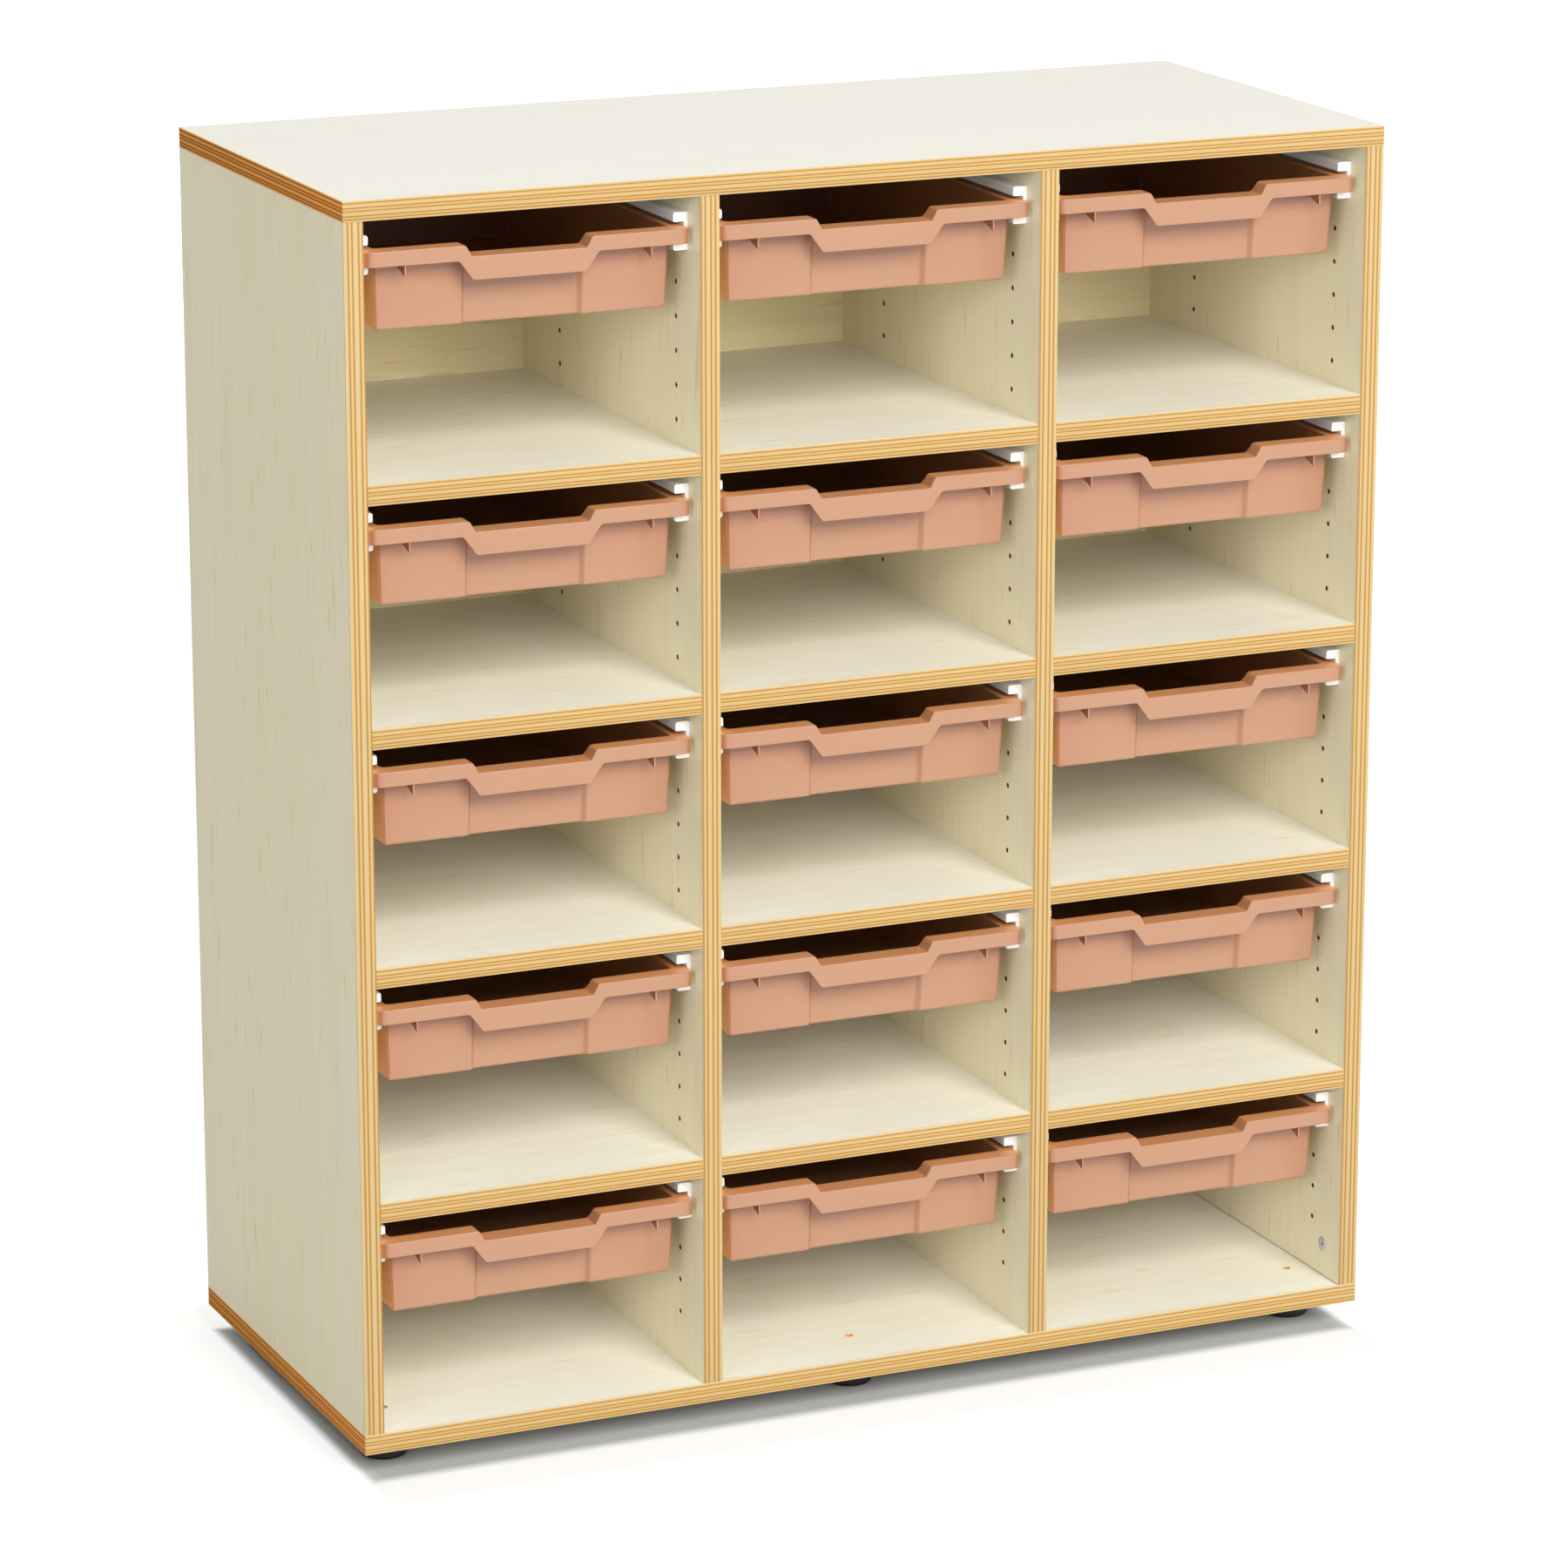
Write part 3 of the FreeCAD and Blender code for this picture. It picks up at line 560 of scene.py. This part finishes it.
def make_trays():
    for side in COLUMNS:
        for level in LEVELS:
            node = f"{side}_tray_{level}"
            weigh_normals(piece(node + "_shell", tray_mesh(*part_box(node)), (TRAY, TAB_PAINTED_SHADE),
                                node, (node,), 60))


# ---------------------------------------------------------------- runners

RUNNER_REACH, RUNNER_WEB, RUNNER_LIP = 14.5, 4.15, 9.0
RUNNER_HEIGHT = 35.2
RUNNER_ABOVE_RIM = 12.0
# How much slimmer the section is at places from either end.
RUNNER_ENDS = ((0.0, 0.7), (0.25, 0.2), (0.8, 0.0))
PEG_ROWS = (29.0, 315.0)
# (place along a peg, radius)
PEG = ((0.0, 2.4), (-7.4, 2.4), (-8.0, 1.8))


def runner_profile(facing, shrink):
    """The channel's section as (x, z), from the board and from its own underside."""
    reach, web, lip, top = RUNNER_REACH, RUNNER_WEB, RUNNER_LIP, RUNNER_HEIGHT
    corners = [(shrink, shrink), (reach - shrink, shrink),
               (reach - shrink, lip - shrink), (web - shrink, lip - shrink),
               (web - shrink, top - lip + shrink), (reach - shrink, top - lip + shrink),
               (reach - shrink, top - shrink), (shrink, top - shrink)]
    radii = [0.6, 2.6, 1.4, 0.8, 0.8, 1.4, 2.6, 0.6]
    return [(facing * x, z) for x, z in soften(corners, radii, 4, True)]


def add_runner(build, face, facing, front, rear, bottom):
    """One channel with its two pegs. facing is the way along x that it opens."""
    length = (rear - front) / MM
    places = list(RUNNER_ENDS)
    places += [(length - along, shrink) for along, shrink in reversed(RUNNER_ENDS)]
    join_rings(build, [[Vector((face + x * MM, front + along * MM, bottom + z * MM))
                        for x, z in runner_profile(facing, shrink)] for along, shrink in places])
    for row in PEG_ROWS:
        centre = Vector((face, front + row * MM, bottom + RUNNER_HEIGHT / 2 * MM))
        rings = []
        for out, radius in PEG:
            rings.append([centre + Vector((facing * out, radius * math.cos(a),
                                           radius * math.sin(a))) * MM for a in turn(16)])
        join_rings(build, rings)


def make_runners():
    for side in COLUMNS:
        for hand, facing in (("left", 1), ("right", -1)):
            node = f"{side}_column_{hand}_runners"
            low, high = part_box(node)
            face = high.x - RUNNER_REACH * MM if facing > 0 else low.x + RUNNER_REACH * MM
            build = bmesh.new()
            for level in LEVELS:
                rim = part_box(f"{side}_tray_{level}")[1].z
                add_runner(build, face, facing, low.y, high.y,
                           rim + (RUNNER_ABOVE_RIM - RUNNER_HEIGHT) * MM)
            weigh_normals(piece(node + "_set", build, RUNNER,
                                "carcass", (node,), 50))


# ---------------------------------------------------------------- carcass

AS_PACKED = {"top_panel": GRAIN_TOP, "back_panel": GRAIN_BACK, "cam_bolts": STEEL,
             "foot_sockets": BLACK}


def paint_packed():
    """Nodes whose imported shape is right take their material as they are."""
    for name, node in frame["nodes"].items():
        material = GRAIN_ACROSS if "_shelf_" in name else AS_PACKED.get(name)
        if material:
            node.data.materials.clear()
            node.data.materials.append(material)


BOARD = 0.019
HOLE_RISE, HOLE_PITCH = 0.0224, 0.032
HOLE_ROWS = (0.057, 0.343)
# The shelf holes of each level that are there, counted up from its first place.
HOLE_STEPS = {1: (1, 2, 3), 2: (0, 1, 2, 3), 3: (0, 1, 2, 3), 4: (0, 1, 2, 3), 5: (0, 1, 2, 3, 4)}
HOLE_RADIUS, HOLE_DEPTH = 0.00253, 0.01102
KEY_HOLE_RADIUS, KEY_HOLE_RISE = 0.0043, 0.01195
REBATE_HEIGHT, REBATE_DEPTH, REBATE_INSET = 0.0007, 0.0015, 0.0005
CAM_RADIUS, CAM_DEPTH, CAM_RISE, CAM_CLEARANCE = 0.0074, 0.0125, 0.0321, 0.0001
# From the front or rear of the cams' packed box to their centres.
CAM_INSET = 0.0075
# How far a cutter reaches past the face that it opens.
OVER = 0.001
# The way along x from a side panel's inner face into it. The dividers are drilled right through.
INWARD = {"left_side_panel": -1, "right_side_panel": 1, "left_divider": 0, "right_divider": 0}


def bay_floor(level):
    """Top of the bottom panel or of the shelf below a bay."""
    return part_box("bottom_panel")[1].z if level == 1 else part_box(f"left_shelf_{level - 1}")[1].z


def hole_places():
    """(y, z) of every shelf and peg hole in a side or divider."""
    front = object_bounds()[0][1]
    heights = []
    for level in LEVELS:
        heights += [bay_floor(level) + HOLE_RISE + HOLE_PITCH * step for step in HOLE_STEPS[level]]
        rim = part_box(f"left_tray_{level}")[1].z
        heights.append(rim + (RUNNER_ABOVE_RIM - RUNNER_HEIGHT / 2) * MM)
    return [(front + row, z) for row in HOLE_ROWS for z in heights]


def round_drill(build, start, end, radius):
    """A cylinder between two points along one axis."""
    axis = (end - start).normalized()
    side = Vector((0, 0, 1)) if abs(axis.z) < 0.5 else Vector((1, 0, 0))
    other = axis.cross(side)
    join_rings(build, [[centre + (side * math.cos(a) + other * math.sin(a)) * radius
                        for a in turn(20)] for centre in (start, end)])


def drilled_board(node, drills, rebate, materials):
    """A copy of a packed board with its faceted holes drilled round. materials are for its faces,
    for the raw board inside the holes and, where there is a third, for the unit's outer sides; in
    the uprights these two are darker copies, painted shade.
    rebate is the low and high corner of a slim box cut away too, or None."""
    cutter = bpy.data.objects.new(node + "_drills", cutter_mesh(node, drills, rebate))
    work = bpy.data.objects.new(node + "_work", frame["nodes"][node].data.copy())
    for item in (cutter, work):
        bpy.context.scene.collection.objects.link(item)
    weld(work.data)
    modifier = work.modifiers.new("drill", "BOOLEAN")
    modifier.operation = "DIFFERENCE"
    modifier.solver = "EXACT"
    modifier.object = cutter
    bpy.context.view_layer.update()
    evaluated = work.evaluated_get(bpy.context.evaluated_depsgraph_get())
    mesh = bpy.data.meshes.new_from_object(evaluated)
    bpy.data.objects.remove(work)
    bpy.data.objects.remove(cutter)
    mesh.name = node + "_drilled"
    mesh.materials.clear()
    for attribute in ("custom_normal", "sharp_edge"):
        if attribute in mesh.attributes:
            mesh.attributes.remove(mesh.attributes[attribute])
    dress(bpy.data.objects.new(node + "_drilled", mesh), materials,
          "carcass", (node,))
    for face in mesh.polygons:
        face.use_smooth = False
        outer = abs(face.center.x) > cad_bounds[1][0] - 0.0001
        face.material_index = 1 if cut_away(face.center, drills, rebate) else 2 * outer


def cutter_mesh(node, drills, rebate):
    build = bmesh.new()
    for start, end, radius in drills:
        round_drill(build, start, end, radius)
    if rebate:
        bar(build, *rebate, 0.0)
    bmesh.ops.recalc_face_normals(build, faces=build.faces)
    mesh = bpy.data.meshes.new(node + "_drills")
    build.to_mesh(mesh)
    build.free()
    return mesh


def weld(mesh):
    """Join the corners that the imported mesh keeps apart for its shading."""
    build = bmesh.new()
    build.from_mesh(mesh)
    bmesh.ops.remove_doubles(build, verts=build.verts, dist=1e-6)
    bmesh.ops.recalc_face_normals(build, faces=build.faces)
    build.to_mesh(mesh)
    build.free()


def cut_away(point, drills, rebate):
    """Whether a face's centre lies in a drilled hole or the rebate."""
    for start, end, radius in drills:
        axis = end - start
        along = (point - start).dot(axis) / axis.length_squared
        if -0.01 < along < 1.0 and (point - start - axis * along).length < radius * 1.05:
            return True
    slack = 0.00001
    return bool(rebate) and all(rebate[0][i] - slack < point[i] < rebate[1][i] + slack
                                for i in range(3))


def cam_centres():
    """(y, z) of the cams in each side panel."""
    low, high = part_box("cam_locks")
    heights = (bay_floor(1) + CAM_RISE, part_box("top_panel")[0].z - CAM_RISE)
    return [(y, z) for y in (low.y + CAM_INSET, high.y - CAM_INSET) for z in heights]


def make_uprights():
    """Sides and dividers. The sides have a fine shadow gap where they meet the bottom panel."""
    for name, inward in INWARD.items():
        low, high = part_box(name)
        near, far, rebate = low.x - OVER, high.x + OVER, None
        if inward:
            inner = high.x if inward < 0 else low.x
            mouth = inner - inward * OVER
            near, far = sorted((mouth, inner + inward * HOLE_DEPTH))
            gap = sorted((mouth, inner + inward * REBATE_DEPTH))
            rebate = ((gap[0], low.y + REBATE_INSET, low.z - OVER),
                      (gap[1], high.y - REBATE_INSET, low.z + REBATE_HEIGHT))
        drills = [(Vector((near, y, z)), Vector((far, y, z)), HOLE_RADIUS)
                  for y, z in hole_places()]
        if inward:
            drills += [(Vector((mouth, y, z)), Vector((inner + inward * CAM_DEPTH, y, z)),
                        CAM_RADIUS + CAM_CLEARANCE) for y, z in cam_centres()]
        drilled_board(name, drills, rebate, [GRAIN_UP, RAW_PAINTED_SHADE, GRAIN_SIDE_PAINTED_SHADE])


FEET = [f"{end}_{side}_foot" for end in ("front", "rear") for side in COLUMNS]


def foot_centre(name):
    low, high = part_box(name)
    return (low + high) / 2


def make_bottom():
    """The bottom panel, with a key hole over each foot."""
    low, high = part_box("bottom_panel")
    drills = []
    for name in FEET:
        centre = foot_centre(name)
        drills.append((Vector((centre.x, centre.y, low.z + KEY_HOLE_RISE)),
                       Vector((centre.x, centre.y, high.z + OVER)), KEY_HOLE_RADIUS))
    drilled_board("bottom_panel", drills, None, [GRAIN_ACROSS, RAW])


EDGE, EDGE_RADIUS = 0.002, 0.0004
# How far the ends of a shelf sit in their housings.
HOUSED = 0.0039


def strip(build, layer, low, high, run_axis, number):
    """One edge strip, its outer edges eased and its back left square against the board. uv holds
    metres along it and its number plus the share across it."""
    before = set(build.faces)
    bar(build, low, high, 0.0)
    thin = min((0, 1), key=lambda axis: high[axis] - low[axis])
    outer = max((low[thin], high[thin]), key=abs)
    edges = {edge for face in set(build.faces) - before for edge in face.edges
             if all(abs(vert.co[thin] - outer) < 1e-6 for vert in edge.verts)}
    ease(build, edges, EDGE_RADIUS)
    across = 2 if run_axis != 2 else 0
    for face in set(build.faces) - before:
        face.normal_update()
        for loop in face.loops:
            share = (loop.vert.co[across] - low[across]) / (high[across] - low[across])
            on_side = abs(face.normal[across]) > 0.9
            place = SIDE_PLACE if on_side else FACE_START + FACE_SHARE * share
            loop[layer].uv = (loop.vert.co[run_axis], number + place)


def edging(name, node, strips, material):
    """One piece of edge strips. strips are (low, high, axis that the strip runs along)."""
    build = bmesh.new()
    layer = build.loops.layers.uv.new("strip")
    for number, (low, high, run_axis) in enumerate(strips):
        strip(build, layer, Vector(low), Vector(high), run_axis, number)
    piece(name, build, material, "carcass", (node,), 30)


def make_edging():
    (left, front, _), (right, rear, _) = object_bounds()
    for name in ("top_edging", "bottom_edging"):
        low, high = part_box(name)
        edging(name + "_strips", name, [
            ((left, front, low.z), (right, front + EDGE, high.z), 0),
            ((left, rear - EDGE, low.z), (right, rear, high.z), 0)], EDGE_LEVEL)
        edging(name + "_ends", name, [
            ((left, front + EDGE, low.z), (left + EDGE, rear - EDGE, high.z), 1),
            ((right - EDGE, front + EDGE, low.z), (right, rear - EDGE, high.z), 1)], EDGE_END_PAINTED_SHADE)
    low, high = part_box("side_edging")
    for hand, x, material in (("left", left, EDGE_LEFT), ("right", right - BOARD, EDGE_UPRIGHT)):
        edging(f"side_edging_{hand}", "side_edging",
               [((x, front, low.z), (x + BOARD, front + EDGE, high.z), 2)], material)
        edging(f"side_edging_{hand}_rear", "side_edging",
               [((x, rear - EDGE, low.z), (x + BOARD, rear, high.z), 2)], material)
    dividers = []
    for name in ("left_divider", "right_divider"):
        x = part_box(name)[0].x
        dividers.append(((x, front, low.z), (x + BOARD, front + EDGE, high.z), 2))
    edging("divider_edging_strips", "divider_edging", dividers, EDGE_UPRIGHT)
    shelves = []
    for side in COLUMNS:
        for level in LEVELS[:4]:
            shelf_low, shelf_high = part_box(f"{side}_shelf_{level}")
            shelves.append(((shelf_low.x + HOUSED, front, shelf_low.z),
                            (shelf_high.x - HOUSED, front + EDGE, shelf_high.z), 0))
    edging("shelf_edging_strips", "shelf_edging", shelves, EDGE_LEVEL)


# ---------------------------------------------------------------- feet and fittings

# (radius, height) from the floor up.
PAD = ((0.0185, 0.0), (0.0205, 0.0004), (0.0216, 0.0016), (0.022, 0.0032), (0.0219, 0.0085),
       (0.0212, 0.0101), (0.0196, 0.011), (0.0135, 0.0113))
HEXAGON = ((0.0102, 0.0105), (0.0102, 0.0161), (0.0093, 0.017))


def make_feet():
    """Each foot as a turned pad, a stud and a hexagon for a spanner."""
    for name in FEET:
        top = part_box(name)[1].z
        centre = foot_centre(name)
        centre.z = 0.0
        build = bmesh.new()
        lathe(build, PAD, centre, 48)
        lathe(build, ((0.0040, 0.0165), (0.0040, top - 0.001), (0.0032, top)), centre, 20)
        lathe(build, HEXAGON, centre, 6)
        piece(name + "_turned", build, BLACK, name, (name,), 40)


# (depth, how much slimmer)
CAM_SECTION = ((0.0, 0.001), (0.0003, 0.0), (CAM_DEPTH - 0.0004, 0.0), (CAM_DEPTH, 0.0005))
SLOT_LONG, SLOT_WIDE, MARK_HALF = 0.0026, 0.0005, 0.0001
ARROW = ((-0.0013, 0.0038), (0.0013, 0.0038), (0.0, 0.0056))


def make_cam_faces():
    """Each cam as a round casting. The cross slot is not cut: a thin dark grey sheet on its face
    paints the shade inside it, and the small setting arrow is drawn in the same grey.
    """
    low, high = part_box("cam_locks")
    cams, marks = bmesh.new(), bmesh.new()
    for facing, face in ((1, low.x), (-1, high.x)):
        inner = face + facing * CAM_DEPTH
        for y, z in cam_centres():
            rings = []
            for depth, shrink in CAM_SECTION:
                radius = CAM_RADIUS - shrink
                rings.append([Vector((face + facing * depth, y + radius * math.cos(a),
                                      z + radius * math.sin(a))) for a in turn(32)])
            join_rings(cams, rings)
            for wide, tall in ((SLOT_LONG, SLOT_WIDE), (SLOT_WIDE, SLOT_LONG)):
                bar(marks, (inner - MARK_HALF, y - wide, z - tall),
                    (inner + MARK_HALF, y + wide, z + tall), 0.00004)
            join_rings(marks, [[Vector((inner + side, y + across, z + up)) for across, up in ARROW]
                               for side in (-MARK_HALF, MARK_HALF)])
    piece("cam_lock_castings", cams, CAM_METAL, "carcass", ("cam_locks",), 40)
    piece("cam_slots", marks, SLOT_SHADE_AND_ARROW, "carcass", (), 30)


# ---------------------------------------------------------------- floor, light and camera

WHITE = (1.0, 1.0, 1.0, 1.0)
AMBIENT = 0.3
FLOOR_REACH = 14.0


def when_seen(tree):
    """One for the camera and for the rays of gloss and glass, and nought for other rays."""
    path = tree.nodes.new("ShaderNodeLightPath")
    seen = path.outputs["Is Camera Ray"]
    for ray in ("Is Glossy Ray", "Is Transmission Ray"):
        either = tree.nodes.new("ShaderNodeMath")
        either.operation = "MAXIMUM"
        tree.links.new(seen, either.inputs[0])
        tree.links.new(path.outputs[ray], either.inputs[1])
        seen = either.outputs[0]
    return seen


# The floor's glow to the camera by the distance from the unit's outline, in millimetres. Held low
# beside the unit, where the real shadow shows, it sets how that shadow fades out: painted light
# shaping the shadow's edge, with a darker band in front than at the sides.
SIDE_GLOW = ((-20, 0.0), (-10, 0.10), (0, 0.66), (10, 0.65), (60, 0.66), (120, 1.0))
FRONT_GLOW = ((-6, 0.0), (0, 0.17), (10, 0.49), (60, 0.51), (120, 1.0))


def edge_glow(paint, away, stops):
    """A ramp over a distance in metres, from stops of (millimetres, value)."""
    low, high = stops[0][0], stops[-1][0]
    share = paint.mask(away, low * MM, high * MM, 1.0)
    return paint.ramp(share, [((place - low) / (high - low), (value, value, value, 1.0))
                              for place, value in stops])


def make_floor():
    """A plain floor, white to the camera away from the unit, that keeps the shadow beside it."""
    mesh = bpy.data.meshes.new("floor")
    mesh.from_pydata([(x * FLOOR_REACH, y * FLOOR_REACH, 0)
                      for x, y in ((-1, -1), (1, -1), (1, 1), (-1, 1))], [], [(0, 1, 2, 3)])
    floor = bpy.data.objects.new("floor", mesh)
    bpy.context.scene.collection.objects.link(floor)
    paint = Paint("floor", (0.6, 0.6, 0.6, 1.0), 0.9, 0.1)
    low, high = cad_bounds
    split = paint.node("SeparateXYZ")
    paint.link(paint.place((1, 1, 1)), split.inputs["Vector"])

    def math_node(operation, first, second):
        node = paint.node("Math", operation=operation)
        for value, socket in ((first, node.inputs[0]), (second, node.inputs[1])):
            if isinstance(value, (int, float)):
                socket.default_value = value
            else:
                paint.link(value, socket)
        return node.outputs[0]

    beside = math_node("SUBTRACT", math_node("ABSOLUTE", split.outputs["X"], 0.0), high[0])
    behind = math_node("SUBTRACT", split.outputs["Y"], high[1])
    before = math_node("SUBTRACT", low[1], split.outputs["Y"])
    glow = math_node("MAXIMUM", edge_glow(paint, math_node("MAXIMUM", beside, behind), SIDE_GLOW),
                     edge_glow(paint, before, FRONT_GLOW))
    shown = math_node("MULTIPLY", glow, when_seen(paint.tree))
    paint.shader.inputs["Emission Color"].default_value = WHITE
    paint.link(shown, paint.shader.inputs["Emission Strength"])
    mesh.materials.append(paint.material)


def make_world():
    """A soft even light, with pure white in view of the camera."""
    world = bpy.data.worlds.new("studio")
    bpy.context.scene.world = world
    world.use_nodes = True
    tree = world.node_tree
    plain = tree.nodes["Background"]
    seen = tree.nodes.new("ShaderNodeBackground")
    for light, strength in ((plain, AMBIENT), (seen, 1.0)):
        light.inputs["Color"].default_value = WHITE
        light.inputs["Strength"].default_value = strength
    mix = tree.nodes.new("ShaderNodeMixShader")
    tree.links.new(when_seen(tree), mix.inputs[0])
    tree.links.new(plain.outputs[0], mix.inputs[1])
    tree.links.new(seen.outputs[0], mix.inputs[2])
    tree.links.new(mix.outputs[0], tree.nodes["World Output"].inputs["Surface"])


def softbox(name, place, target, width, height, power, only=None):
    """A soft lamp. only is a collection, where the lamp fills in some pieces alone."""
    light = bpy.data.lights.new(name, "AREA")
    light.shape = "RECTANGLE"
    light.size, light.size_y = width, height
    light.energy = power
    item = bpy.data.objects.new(name, light)
    item.location = place
    item.rotation_euler = (Vector(target) - Vector(place)).to_track_quat("-Z", "Y").to_euler()
    item.visible_camera = False
    bpy.context.scene.collection.objects.link(item)
    if only:
        item.light_linking.receiver_collection = only


def make_lights():
    """The lamps. Two of them fill in the boards, the runners and the strips at the ends and rear,
    and leave the trays and the front strips as the others light them."""
    boards = bpy.data.collections.new("boards")
    for item in bpy.data.objects:
        if item.type == "MESH" and item.data.materials:
            material = item.data.materials[0].name
            if ("laminate" in material or "runner" in material
                    or item.name.endswith(("_ends", "_rear"))):
                boards.objects.link(item)
    softbox("key", (1.7, -18.4, 12.9), (0, 0, 0.5), 11.0, 10.0, 3750.0)
    softbox("overhead", (0.2, 0.3, 4.2), (0, 0, 0.6), 3.0, 2.0, 14.0)
    softbox("right_strip", (6.0, -4.0, 1.6), (0, 0, 0.6), 0.5, 2.6, 45.0)
    softbox("low_fill", (0.6, -8.0, 2.8), (0, 0, 0.3), 3.2, 2.0, 350.0, boards)
    softbox("left_fill", (-4.6, -4.6, 2.3), (0, 0, 0.5), 3.0, 2.0, 125.0, boards)
    softbox("back_fill", (0.0, 9.0, 0.6), (0, 0, 0.6), 1.0, 1.0, 400.0)


# The photograph's viewpoint, solved from its straight edges.
CAMERA_PLACE = (-2.3492, -5.3193, 2.1280)
CAMERA_YAW, CAMERA_PITCH = 0.4162, 0.2639
CAMERA_LENS, CAMERA_SENSOR = 143.13, 36.0


def make_camera():
    camera = bpy.data.cameras.new("camera")
    item = bpy.data.objects.new("camera", camera)
    item.location = CAMERA_PLACE
    item.rotation_euler = (math.pi / 2 - CAMERA_PITCH, 0.0, -CAMERA_YAW)
    camera.sensor_fit = "HORIZONTAL"
    camera.sensor_width = CAMERA_SENSOR
    camera.lens = CAMERA_LENS
    camera.clip_end = 60.0
    bpy.context.scene.collection.objects.link(item)
    bpy.context.scene.camera = item


bpy.context.scene.view_settings.view_transform = "Standard"
make_camera()
paint_packed()
make_uprights()
make_bottom()
make_edging()
make_trays()
make_runners()
make_feet()
make_cam_faces()
make_floor()
make_world()
make_lights()
